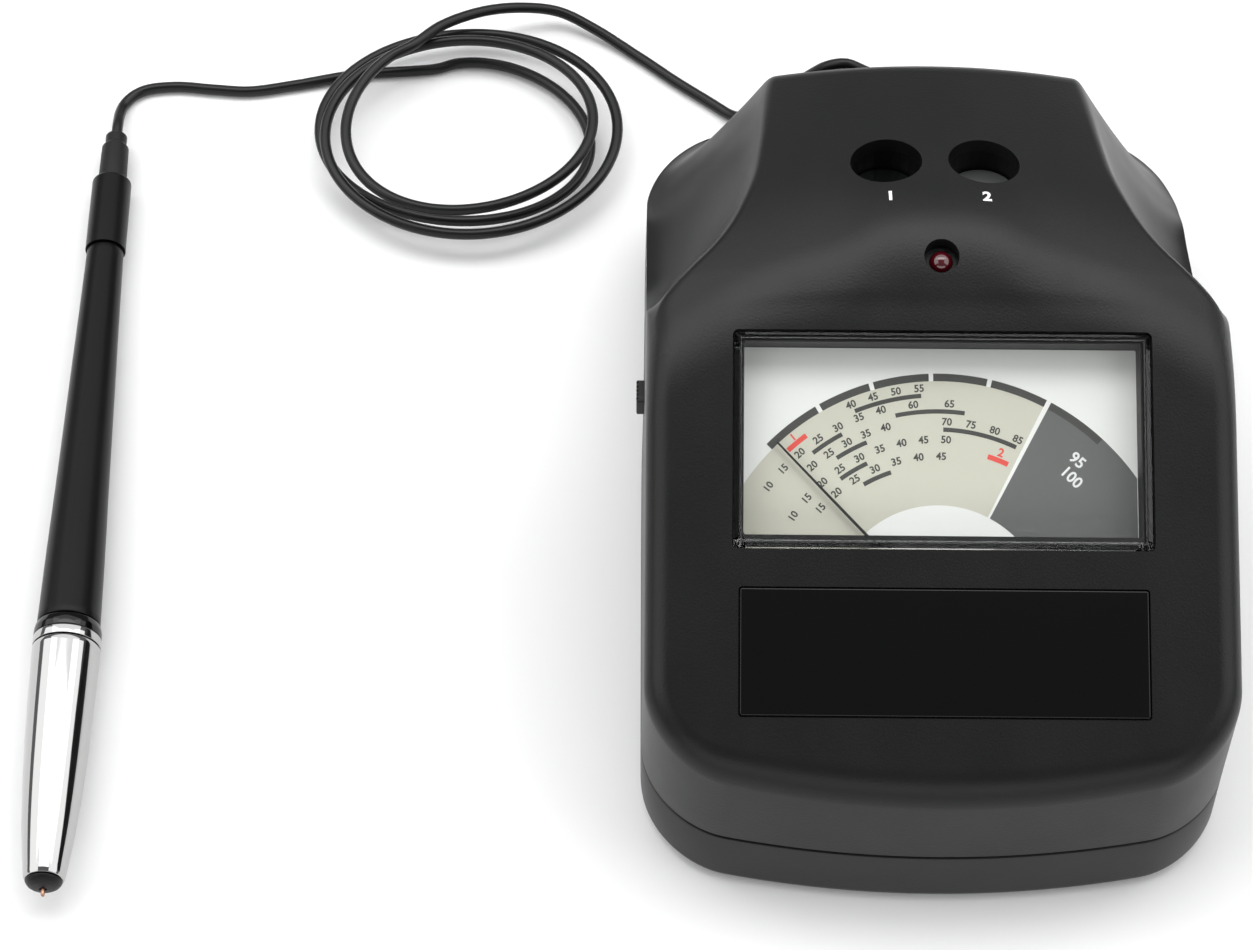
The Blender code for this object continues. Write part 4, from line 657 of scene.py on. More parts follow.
@dataclass(frozen=True)
class ShellForm:
    """The console's outer form in its own frame, in millimetres."""

    length: float = 152.0
    half: float = 50.0
    front: float = 4.1
    slope: float = math.tan(math.radians(22.05))
    panel_z: float = 29.8
    bow: float = 7.0
    front_radius: float = 14.0
    rear_radius: float = 20.0
    fillet: float = 4.5
    front_lean: float = 0.151
    side_lean: float = 0.012
    rear_lean: float = 0.05
    hood_y: float = 89.0
    hood_z: float = 66.0
    hood_fall: float = 0.262
    hood_bend: float = 22.4
    hood_tail: float = 0.0011
    crown: float = 0.003
    crown_growth: float = 0.0015
    swell: float = 1.5
    swell_half: float = 14.0
    rear_top: float = 58.5
    rear_drop: float = 40.0
    rear_run: float = 13.0
    rear_crown: float = 0.00405
    crease_round: float = 1.8

    def hood(self, x: Points, y: Points) -> Points:
        """Return the hood's top.

        Args:
            x: places across.
            y: places along.

        Returns:
            hood_z, less a fall that grows with the square of the run as far as hood_bend and then
            evenly, less a crown * x^2, and with a swell at the arch.
        """
        run = np.maximum(y - self.hood_y, 0.0)
        z = self.hood_z - self.hood_fall / (2 * self.hood_bend) * np.minimum(run, self.hood_bend)**2
        run = np.maximum(run - self.hood_bend, 0.0)
        crown = self.crown + self.crown_growth * np.clip((y - self.hood_y) / 50, 0.0, 1.0)
        swell = self.swell * np.exp(-(x / self.swell_half)**4) * ease(1 - (y - self.hood_y - 6) / 22)
        return z - self.hood_fall * run - self.hood_tail * run**2 - crown * x**2 + swell

    def top(self, x: Points, y: Points) -> Points:
        """Return the lowest of the panel, the hood and the rear wall, with soft corners."""
        fall = self.rear_drop * (y - self.length + self.rear_run) / self.rear_run
        rear = self.rear_top - fall - self.rear_crown * x**2
        return lower_of(lower_of(self.panel_z + self.slope * y, self.hood(x, y), 3.0), rear, 5.0)

    def width(self, y: Points) -> Points:
        """Return the plan's half width.

        Args:
            y: places along.

        Returns:
            half, less r - sqrt(r^2 - d^2) within a corner's radius r, d deep, front and rear.
        """
        front = np.clip(self.front_radius - (y - self.front), 0.0, self.front_radius)
        rear = np.clip(self.rear_radius - (self.length - y), 0.0, self.rear_radius)
        return (self.half - self.front_radius + np.sqrt(self.front_radius**2 - front**2)
                - self.rear_radius + np.sqrt(self.rear_radius**2 - rear**2))

    def grid(self, inner: int = 44, outer: int = 36) -> Points:
        """Return the top skin as a grid of points.

        Args:
            inner: columns from the middle to the crease.
            outer: columns from the crease to the wall.

        Returns:
            Cross sections by columns: in front the panel with a rounded edge, behind the arch the
            hood with its hollow sides, and between them a blend of the two.
        """
        y = self.rows()
        width = self.width(y)
        corner = np.maximum(self.front_radius - (y - self.front), 0.0)
        inset = self.front_radius - self.fillet
        straight = self.half - self.front_radius + np.sqrt(np.maximum(inset**2 - corner**2, 0.0))
        crease = np.minimum(np.where(y < self.hood_y - 15, straight, curve(CREASE_X, y)), width)
        across = np.linspace(0.0, 1.0, inner + 1)[None]
        beyond = (1 - np.cos(np.pi * np.linspace(0.0, 1.0, outer + 1)[None, 1:])) / 2
        x = np.concatenate([crease * across, crease + (width - crease) * beyond], axis=1)
        bowed = y + self.bow * (x / self.half)**2 * np.clip(1 - (y - self.front) / 70, 0, 1)**1.5
        level = self.top(x, bowed)
        panel = self.panel_edge(x, y, level, width)
        sides = self.hood_sides(x, y, level, width, crease)
        blend = ease((y - self.hood_y + 11) / 16)
        half = np.stack([x, bowed, (1 - blend) * panel + blend * sides], axis=-1)
        left = half[:, :0:-1] * np.array([-1.0, 1.0, 1.0])
        return np.concatenate([left, half], axis=1)

    def rows(self) -> Points:
        """Return the places of the cross sections as a column, closer where the form turns."""
        turn = np.linspace(0.0, np.pi / 2, 22)
        rear = self.length - self.rear_radius * (1 - np.sin(np.linspace(0, np.pi / 2, 30)))
        return np.concatenate([self.front + self.front_radius * (1 - np.cos(turn)),
                               np.linspace(19.5, 70, 34), np.linspace(71, 100, 44),
                               np.linspace(101.2, rear[0] - 1.2, 26), rear])[:, None]

    def panel_edge(self, x: Points, y: Points, level: Points, width: Points) -> Points:
        """Return the panel's height with its edge rounded.

        Args:
            x: places across.
            y: places along, before the bow.
            level: the height without the rounding.
            width: the plan's half width.

        Returns:
            level - fillet + sqrt(fillet^2 - (fillet - e)^2), with e the way to the nearest wall.
        """
        depth = y - self.front
        corner_x = self.half - self.front_radius
        radial = self.front_radius - np.hypot(np.maximum(x - corner_x, 0), self.front_radius - depth)
        in_corner = (x > corner_x) & (depth < self.front_radius)
        edge = np.clip(np.where(in_corner, radial, np.minimum(width - x, depth)), 0.0, self.fillet)
        return level - self.fillet + np.sqrt(self.fillet**2 - (self.fillet - edge)**2)

    def hood_sides(self, x: Points, y: Points, level: Points, width: Points, crease: Points) -> Points:
        """Return the hood's height with its hollow sides.

        Args:
            x: places across.
            y: places along.
            level: the hood's own height.
            width: the plan's half width.
            crease: the crease's distance from the middle.

        Returns:
            The lower of the hood and shoulder + (crest - shoulder) (1 - share)^hollow, with the
            share running from the crease to the wall.
        """
        shoulder = curve(SHOULDER_Z, y)
        crest = self.top(crease, y)
        share = np.clip((x - crease) / np.maximum(width - crease, 1e-6), -0.5, 1.0)
        hollow = 1.9 - 0.65 * ease((y - self.hood_y - 17) / 30)
        side = shoulder + (crest - shoulder) * (1 - share)**hollow
        return np.where(x >= width - 1e-6, shoulder, lower_of(level, side, self.crease_round))

    @staticmethod
    def rim(grid: Points) -> Points:
        """Return the grid's edge as a loop, counter-clockwise from above, without repeats."""
        last = grid.shape[1] - 1
        loop = np.concatenate([grid[0], grid[1:, last], grid[-1, last - 1::-1], grid[-2:0:-1, 0]])
        return loop[np.linalg.norm(loop - np.roll(loop, 1, axis=0), axis=1) > 1e-5]

    def wall(self, rim: Points, z: float, inset: float = 0.0) -> Points:
        """Return the leaning wall's loop at a height.

        Args:
            rim: the upper edge.
            z: the height.
            inset: how far the loop is drawn in.

        Returns:
            rim + normal (drop * lean - inset) in plan, where the lean depends on the way it faces.
        """
        along = np.roll(rim, -1, axis=0)[:, :2] - np.roll(rim, 1, axis=0)[:, :2]
        normal = np.stack([along[:, 1], -along[:, 0]], axis=1)
        normal /= np.linalg.norm(normal, axis=1, keepdims=True)
        lean = (self.front_lean * np.maximum(-normal[:, 1], 0.0)**2 + self.side_lean * normal[:, 0]**2
                + self.rear_lean * np.maximum(normal[:, 1], 0.0)**2)
        plan = rim[:, :2] + normal * ((rim[:, 2] - z) * lean - inset)[:, None]
        return np.column_stack([plan, np.full(len(plan), z)])

    def body(self, grid: Points, levels: Pairs) -> Shape:
        """Return the top skin closed down its walls, with a flat underside.

        Args:
            grid: the top skin.
            levels: height and inset of each wall loop below the rim, from the top down.

        Returns:
            The closed shape.
        """
        rows, columns = grid.shape[:2]
        top = grid.reshape(-1, 3), [tuple(face) for face in grid_faces(rows, columns)]
        rim = self.rim(grid)
        loops = np.array([rim] + [self.wall(rim, z, inset) for z, inset in levels])
        skirt = [tuple(face) for face in grid_faces(len(loops), len(rim), True)]
        count = len(rim)
        skirt.append(tuple(range((len(loops) - 1) * count, len(loops) * count)))
        return join_shapes(top, (loops.reshape(-1, 3), skirt))

    def lining(self, grid: Points, wall: float) -> Points:
        """Return the skin's underside.

        Args:
            grid: the top skin.
            wall: the thickness.

        Returns:
            Each point lowered by wall / normal z, and drawn in from the sides and ends by the wall.
        """
        du = np.gradient(grid, axis=1)
        dv = np.gradient(grid, axis=0)
        normal = np.cross(du, dv)
        size = np.linalg.norm(normal, axis=-1, keepdims=True)
        normal = np.where(size > 1e-9, normal / np.maximum(size, 1e-9), np.array([0.0, 0.0, 1.0]))
        inner = grid.copy()
        inner[..., 2] = grid[..., 2] - wall / np.maximum(normal[..., 2], 0.45)
        width = np.abs(grid[:, -1:, 0])
        inner[..., 0] *= (width - wall) / width
        span = self.length - self.front
        inner[..., 1] = self.front + wall + (grid[..., 1] - self.front) * (span - 2 * wall) / span
        return inner


# The console

FEET = ((41.0, 29.0), (36.0, 128.0))
SCREWS = ((42.0, 18.5), (34.0, 141.0))
BOARD_POSTS = ((34.0, 115.86),)
PARTING_LOW = 12.95
PARTING_HIGH = 13.45


@dataclass(frozen=True)
class Bay:
    """The cell bay in the tray, with the door's channel under it, open to the right."""

    half: float = 30.2
    front: float = 38.0
    length: float = 54.3
    wall: float = 1.5
    top: float = 18.0
    roof: float = 19.5
    door_room: float = 3.1

    @property
    def rear(self) -> float:
        """Return the bay's rear limit."""
        return self.front + self.length

    def walls(self, low: float) -> Shape:
        """Return the block that the bay is cut from, on the tray's floor."""
        side = self.half + self.wall
        return block((-side, side), (self.front - self.wall, self.rear + self.wall), (low, self.roof))

    def hollows(self) -> list[Shape]:
        """Return what is cut away: the cells' room, the door's channel and its two side grooves."""
        span = (self.front, self.rear)
        grooves = (self.front - 1.6, self.rear + 1.6)
        return [block((-self.half, self.half), span, (0.0, self.top)),
                block((-self.half - 0.2, 60.0), span, (0.0, self.door_room)),
                block((-self.half - 0.1, 59.0), grooves, (2.0, self.door_room - 0.05))]


def both_sides(points: Pairs) -> list[tuple[float, float]]:
    """Return points on the right half with their mirror images."""
    return [(side * x, y) for x, y in points for side in (1, -1)]


@dataclass
class Console:
    """The two housings and the bare label plate."""

    form: ShellForm = field(default_factory=ShellForm)
    bay: Bay = field(default_factory=Bay)
    wall: float = 2.2
    window: tuple[float, float] = (70.8, 37.4)
    label: tuple[float, float] = (68.1, 21.3)
    label_y: float = -36.04
    label_gap: float = 0.28
    label_round: float = 0.4
    well_x: float = 8.5
    well_radius: float = 6.24
    lamp_y: float = 89.6
    lamp_hole: float = 3.0
    # The switch's slot by its limits in y and z, and the two round holes by their middles.
    switch_slot: tuple[float, float, float, float] = (79.7, 87.9, 29.5, 34.5)
    trimmer: tuple[float, float] = (83.0, 32.0)
    trimmer_hole: float = 2.8
    socket: tuple[float, float] = (4.0, 22.4)
    socket_hole: float = 3.9

    def build(self) -> None:
        """Make every piece of the console's outside."""
        grid = self.form.grid()
        self.upper(grid)
        self.lower(grid)
        self.label_plate()

    def upper(self, grid: Points) -> None:
        """Make the upper housing: skin, lining and openings.

        Args:
            grid: the top skin.
        """
        levels = [(PARTING_HIGH + 0.3, 0.0), (PARTING_HIGH + 0.08, 0.07), (PARTING_HIGH, 0.28)]
        shell = piece("upper_shell", self.form.body(grid, levels), CONSOLE, SHELL_BLACK,
                      nodes=("upper_housing",), angle=38)
        lining = self.form.lining(grid[::3, ::3], self.wall)
        carve(shell, self.form.body(lining, [(PARTING_HIGH - 2.0, 0.0)]), CONSOLE)
        for shape, place in self.openings():
            carve(shell, shape, place)

    def lamp_z(self) -> float:
        """Return the hood's height at the lamp."""
        return float(self.form.top(np.array(0.0), np.array(self.lamp_y)))

    def openings(self) -> list[tuple[Shape, Place]]:
        """Return what is cut from the upper housing, each with its place.

        Returns:
            The meter's window, the label's recess, the wells, the lamp's hole, the switch's slot,
            and the trimmer's and the socket's holes.
        """
        window = plate(*self.window, 1.0, [(-6.0, 0.0), (4.0, 0.0)])
        wide, high = (size + 2 * self.label_gap for size in self.label)
        recess = plate(wide, high, self.label_round + 0.25, [(-1.27, 0.0), (4.0, 0.0)])
        well = rod(self.well_radius, -6.0, 4.0, 72)
        wells = join_shapes(moved(well, (-self.well_x, 0, 0)), moved(well, (self.well_x, 0, 0)))
        lamp = moved(rod(self.lamp_hole, self.lamp_z() - 8, self.lamp_z() + 4, 64), (0, self.lamp_y, 0))
        slot = block((-54, -46.3), self.switch_slot[:2], self.switch_slot[2:])
        trimmer = moved(turned(rod(self.trimmer_hole, 46.3, 54, 48), ALONG_X), (0, *self.trimmer))
        socket_x, socket_z = self.socket
        socket = moved(turned(rod(self.socket_hole, 140, 158, 48), ALONG_Y), (socket_x, 0, socket_z))
        return [(window, PANEL), (recess, PANEL.shifted(0.0, self.label_y, 0.0)), (wells, WELLS),
                (lamp, CONSOLE), (slot, CONSOLE), (trimmer, CONSOLE), (socket, CONSOLE)]

    def lower(self, grid: Points) -> None:
        """Make the base tray: its rounded foot, bay, bosses, channel and seats.

        Args:
            grid: the top skin, whose rim the walls follow.
        """
        rim = self.form.rim(grid)
        loops = [self.form.wall(rim, z, inset) for z, inset in
                 ((1.4, 1.0), (1.5, 0.62), (1.75, 0.3), (2.2, 0.08), (2.8, 0.0), (12.5, 0.0),
                  (12.78, 0.1), (PARTING_LOW, 0.5))]
        tray = piece("base_tray", stack(loops), CONSOLE, BASE_BLACK, nodes=("lower_housing",), angle=38)
        inside = [self.form.wall(rim[::6], z, self.wall) for z in (3.8, 15.0)]
        carve(tray, stack(inside), CONSOLE)
        posts = [moved(rod(4.1, 1.5, 12.9, 40), (x, y, 0)) for x, y in both_sides(SCREWS)]
        posts += [moved(rod(2.8, 3.2, 15.7, 32), (x, y, 0)) for x, y in both_sides(BOARD_POSTS)]
        carve(tray, join_shapes(*posts, self.bay.walls(3.2)), CONSOLE, "UNION")
        for hollow in self.bay.hollows():
            carve(tray, hollow, CONSOLE)
        seat = rod(4.8, -1.0, 2.1, 48)
        bore = lathe([(0, -1), (2.9, -1), (2.9, 5), (1.7, 5), (1.7, 18), (0, 18)], 40)
        holes = [moved(seat, (x, y, 0)) for x, y in both_sides(FEET)]
        holes += [moved(bore, (x, y, 0)) for x, y in both_sides(SCREWS)]
        carve(tray, join_shapes(*holes), CONSOLE)

    def label_plate(self) -> None:
        """Make the bare gloss plate under the meter, with a fine bevelled edge."""
        levels = [(-0.95, 0.0), (0.05, 0.0), (0.14, 0.03), (0.22, 0.1), (0.25, 0.22)]
        place = PANEL.shifted(0.0, self.label_y, 0.0)
        piece("bare_label", plate(*self.label, self.label_round, levels), place, GLOSS_BLACK,
              nodes=("label_plate",), angle=60)


# The meter

INKS = {"beige": DIAL_BEIGE, "dark": DIAL_DARK, "ink": DIAL_INK, "red": DIAL_RED, "white": MARK_WHITE}


def text_shape(text: str, height: float, depth: float = 0.02, bold: float = 0.045) -> Shape:
    """Return plain text as a thin solid about its middle, standing on y = 0.

    Args:
        text: the characters, numerals here.
        height: size of the type in millimetres.
        depth: thickness.
        bold: how far each stroke is widened, in millimetres.

    Returns:
        The type's outline filled and raised, in millimetres.
    """
    line = bpy.data.curves.new("type", "FONT")
    line.body = text
    line.size = height
    line.extrude = depth / 2
    line.offset = bold
    line.align_x = "CENTER"
    line.resolution_u = 3
    obj = bpy.data.objects.new("type", line)
    bpy.context.scene.collection.objects.link(obj)
    mesh = bpy.data.meshes.new_from_object(obj.evaluated_get(bpy.context.evaluated_depsgraph_get()))
    points = np.zeros(len(mesh.vertices) * 3)
    mesh.vertices.foreach_get("co", points)
    faces = [tuple(face.vertices) for face in mesh.polygons]
    bpy.data.objects.remove(obj)
    bpy.data.meshes.remove(mesh)
    return points.reshape(-1, 3), faces


def around(shape: Shape, degrees: float, radius: float) -> Shape:
    """Return a shape moved out by a radius and turned left about the origin."""
    angle = math.radians(degrees)
    c, s = math.cos(angle), math.sin(angle)
    return turned(moved(shape, (0.0, radius, 0.0)), ((c, -s, 0), (s, c, 0), (0, 0, 1)))


def arc(inner: float, outer: float, left: float, right: float, low: float, high: float) -> Shape:
    """Return a flat piece of a ring.

    Args:
        inner: inside radius.
        outer: outside radius.
        left: where it starts, in degrees left of straight up.
        right: where it ends, likewise.
        low: its underside.
        high: its face.

    Returns:
        Points (-r sin a, r cos a) on both edges, at both heights, as a closed skin.
    """
    steps = max(2, int(abs(left - right) / 1.5))
    angle = np.radians(np.linspace(left, right, steps + 1))
    out = np.column_stack([-np.sin(angle), np.cos(angle)])
    outline = np.concatenate([out * outer, (out * inner)[::-1]])
    return stack([np.column_stack([outline, np.full(len(outline), z)]) for z in (low, high)])


@dataclass
class Meter:
    """The clear cover, the printed dial and the needle of the movement."""

    pivot_y: float = -28.1
    cover_size: tuple[float, float] = (70.2, 36.8)
    frame_size: tuple[float, float] = (67.2, 33.8)
    dial_half: float = 33.4
    dial_ends: tuple[float, float] = (-9.0, 44.7)
    dial_z: float = -7.6
    needle_z: float = -6.6
    band: tuple[float, float] = (39.15, 40.45)
    hub: float = 18.05
    split: float = -27.5
    # What the frame leaves open: its limits in x and y.
    sight: tuple[float, float, float, float] = (-33.4, 33.4, -16.2, 16.7)
    # Where the band starts and where its gaps are, in degrees left of straight up.
    gaps: tuple[float, ...] = (46.5, 30.6, 16.6, 1.9, -12.4, -27.5)
    # Bars: inside radius and the two ends, in degrees left of straight up.
    bars: tuple[Triple, ...] = (
        (36.35, 22.7, 4.6), (33.6, 12.4, -7.5), (30.5, -1.5, -25.0), (33.7, 38.5, 28.6),
        (30.65, 33.6, 23.0), (27.35, 36.5, 25.7), (24.45, 30.5, 18.8))
    # Rows of numerals: radius, first and last place in degrees, first number, step and count.
    rows: tuple[tuple[float, float, float, int, int, int], ...] = (
        (37.45, 23.0, 5.0, 40, 5, 4), (34.75, 7.0, -3.0, 60, 5, 2), (31.65, -2.5, -24.5, 70, 5, 4),
        (34.9, 54.0, 16.0, 10, 5, 7), (31.85, 41.0, 16.0, 20, 5, 5), (28.6, 57.0, -2.5, 10, 5, 9),
        (25.75, 49.0, -1.0, 15, 5, 7))
    red_bars: tuple[Triple, ...] = ((36.7, 43.2, 37.0), (27.2, -17.4, -24.9))
    # Single numerals: ink, text, size, place in degrees, radius and lift over the dial.
    marks: tuple[tuple[str, str, float, float, float, float], ...] = (
        ("red", "1", 1.7, 40.0, 37.75, 0.02), ("red", "2", 2.0, -21.2, 28.35, 0.02),
        ("white", "95", 2.7, -42.0, 34.0, 0.024), ("white", "100", 2.7, -44.0, 31.2, 0.024))

    def build(self) -> None:
        """Make the cover, the dial with its print, and the needle."""
        self.cover()
        self.frame()
        self.dial()
        self.needle()

    def cover(self) -> None:
        """Make the clear cover: a bevelled plate on a thin skirt, hollow beneath."""
        wide, high = self.cover_size
        levels = [(-5.7, 0.0), (-0.95, 0.0), (-0.8, 0.04), (0.3, 1.08), (0.36, 1.16), (0.4, 1.3)]
        cover = piece("clear_cover", plate(wide, high, 0.8, levels), PANEL, CLEAR,
                      nodes=("meter_window",), angle=25)
        carve(cover, plate(wide - 2.8, high - 2.8, 0.6, [(-7.0, 0.0), (-1.3, 0.0), (-1.2, 0.1)]), PANEL)

    def frame(self) -> None:
        """Make the black frame inside the cover: three walls, a bar over the pivot and a sill."""
        outer = plate(*self.frame_size, 0.5, [(self.dial_z + 0.1, 0.0), (-1.6, 0.0)])
        made = piece("dial_frame", outer, PANEL, CASE_BLACK)
        left, right, low, top = self.sight
        across, up = right - left, top - low
        middle_x, middle_y = (left + right) / 2, (low + top) / 2
        window = plate(across, up, 0.5, [(-12.0, 0.0), (0.0, 0.0)])
        carve(made, window, PANEL.shifted(middle_x, middle_y, 0.0))
        carve(made, block((-40, 40), (-20, low + 0.01), (-12.0, self.needle_z + 0.8)), PANEL)
        sill = block((-34.4, 34.4), (-18.2, low - 0.05), (self.dial_z + 0.04, self.needle_z - 0.55))
        piece("dial_sill", sill, PANEL, CASE_BLACK)

    def dial(self) -> None:
        """Make the dial plate and lay the print on it in thin films."""
        place = PANEL.shifted(0.0, self.pivot_y, 0.0)
        half, (near, far) = self.dial_half, self.dial_ends
        sheet = block((-half, half), (near, far), (self.dial_z - 0.8, self.dial_z))
        card = piece("dial_card", sheet, place, DIAL_WHITE, nodes=("dial_plate",))
        carve(card, rod(1.0, self.dial_z - 3, self.dial_z + 3, 32), place)
        height = (self.dial_z - 1, self.dial_z + 1)
        limit = block((-half + 0.1, half - 0.1), (near + 0.5, far - 0.1), height)
        for name, shapes in self.prints().items():
            film = piece(f"dial_{name}_print", join_shapes(*shapes), place, INKS[name])
            if name in ("beige", "dark"):
                carve(film, limit, place, "INTERSECT")

    def prints(self) -> dict[str, list[Shape]]:
        """Return the shapes of the print for each ink.

        Returns:
            The two fields in the lower film, and in the upper one the band between its gaps, the
            bars, the rows of numerals and the single numerals.
        """
        under = (self.dial_z, self.dial_z + 0.012)
        over = (self.dial_z + 0.014, self.dial_z + 0.024)
        inner, outer = self.band
        layers: dict[str, list[Shape]] = {name: [] for name in INKS}
        layers["beige"].append(arc(self.hub, inner, 88.0, self.split + 0.6, *under))
        layers["dark"].append(arc(self.hub, outer, self.split - 0.6, -88.0, *under))
        ink, red = layers["ink"], layers["red"]
        ink.append(arc(inner, outer, self.split - 0.6, -43.0, *over))
        ink += [arc(inner, outer, left - 0.55, right + 0.55, *over)
                for left, right in zip(self.gaps, self.gaps[1:])]
        ink += [arc(low, low + 0.75, left, right, *over) for low, left, right in self.bars]
        red += [arc(low, low + 0.88, left, right, *over) for low, left, right in self.red_bars]
        for radius, first, last, start, step, count in self.rows:
            for number, angle in enumerate(np.linspace(first, last, count)):
                numeral = around(text_shape(str(start + number * step), 1.75), angle, radius)
                ink.append(moved(numeral, (0, 0, self.dial_z + 0.02)))
        for name, text, size, angle, radius, lift in self.marks:
            numeral = around(text_shape(text, size, bold=0.06), angle, radius)
            layers[name].append(moved(numeral, (0, 0, self.dial_z + lift)))
        return layers

    def needle(self) -> None:
        """Make the needle: a hair-fine blade with a tail, and a round collar on the pivot."""
        place = PANEL.shifted(0.0, self.pivot_y, self.needle_z).turned(44.0)
        right = [(0.16, 39.4), (0.3, 2.4), (0.8, -6.5)]
        outline = np.array([(-0.16, 39.4), *right, (-0.8, -6.5), (-0.3, 2.4)])
        blade = stack([np.column_stack([outline, np.full(len(outline), z)]) for z in (-0.15, 0.15)])
        collar = lathe(rounded_profile([(0.0, -0.25), (2.6, -0.25), (2.6, 0.25), (0.0, 0.25)], 0.12), 48)
        piece("needle_blade", join_shapes(blade, collar), place, NEEDLE_BLACK, body="needle_assembly",
              nodes=("needle",))


# The hood: wells and lamp

@dataclass
class Hood:
    """The two test wells with their discs, the marks below them, and the lamp."""

    console: Console
    mark_x: float = 8.3
    mark_y: float = 101.2
    disc_radius: float = 5.94
    lens_radius: float = 2.05

    def build(self) -> None:
        """Make the marks, the discs and the lamp."""
        self.marks()
        self.discs()
        self.lamp()

    def marks(self) -> None:
        """Print a plain numeral below each well, wrapped on the hood: z = top(x, y)."""
        shapes = []
        for text, x in (("1", -self.mark_x), ("2", self.mark_x)):
            points, faces = text_shape(text, 3.1, 0.04, 0.12)
            points = points + np.array([x, self.mark_y, 0.0])
            points[:, 2] += self.console.form.top(points[:, 0], points[:, 1]) + 0.005
            shapes.append((points, faces))
        piece("well_marks", join_shapes(*shapes), CONSOLE, MARK_WHITE)

    def discs(self) -> None:
        """Make the two discs: polished dark glass on the left, satin metal on the right."""
        corners = [(0.0, -7.8), (self.disc_radius, -7.8), (self.disc_radius, -6.8), (0.0, -6.8)]
        disc = lathe(rounded_profile(corners, 0.2), 72)
        aside = self.console.well_x
        piece("glass_target", disc, WELLS.shifted(-aside, 0.0, 0.0), DARK_GLASS, nodes=("glass_disc",))
        piece("metal_target", disc, WELLS.shifted(aside, 0.0, 0.0), GREY_METAL, nodes=("calibration_disc",))

    def lamp(self) -> None:
        """Make the lamp: a domed lens on a flange, turned about Z."""
        top = self.console.lamp_z()
        seat, radius = top - 7.0, self.lens_radius
        angle = np.radians(np.linspace(0, 90, 14))
        dome = np.column_stack([radius * np.cos(angle), top - 0.25 - radius * (1 - np.sin(angle))])
        flange = radius + 0.7
        foot = [(0.0, seat - 1.3), (flange, seat - 1.3), (flange, seat - 0.3), (radius, seat - 0.3)]
        piece("lamp_lens", lathe(np.concatenate([foot, dome]), 56),
              CONSOLE.shifted(0.0, self.console.lamp_y, 0.0), LAMP_RED, nodes=("status_lamp",))


# The probe

NOSE = ((3.6, 3.62), (5.4, 3.85), (14.6, 4.83), (22.0, 5.32), (30.0, 5.66), (39.0, 5.92), (48.3, 6.07))
BARREL = ((53.1, 5.65), (56.4, 5.57), (68.9, 5.28), (81.9, 4.88), (94.9, 4.54), (108.9, 4.18),
          (122.5, 3.82), (136.3, 3.5))


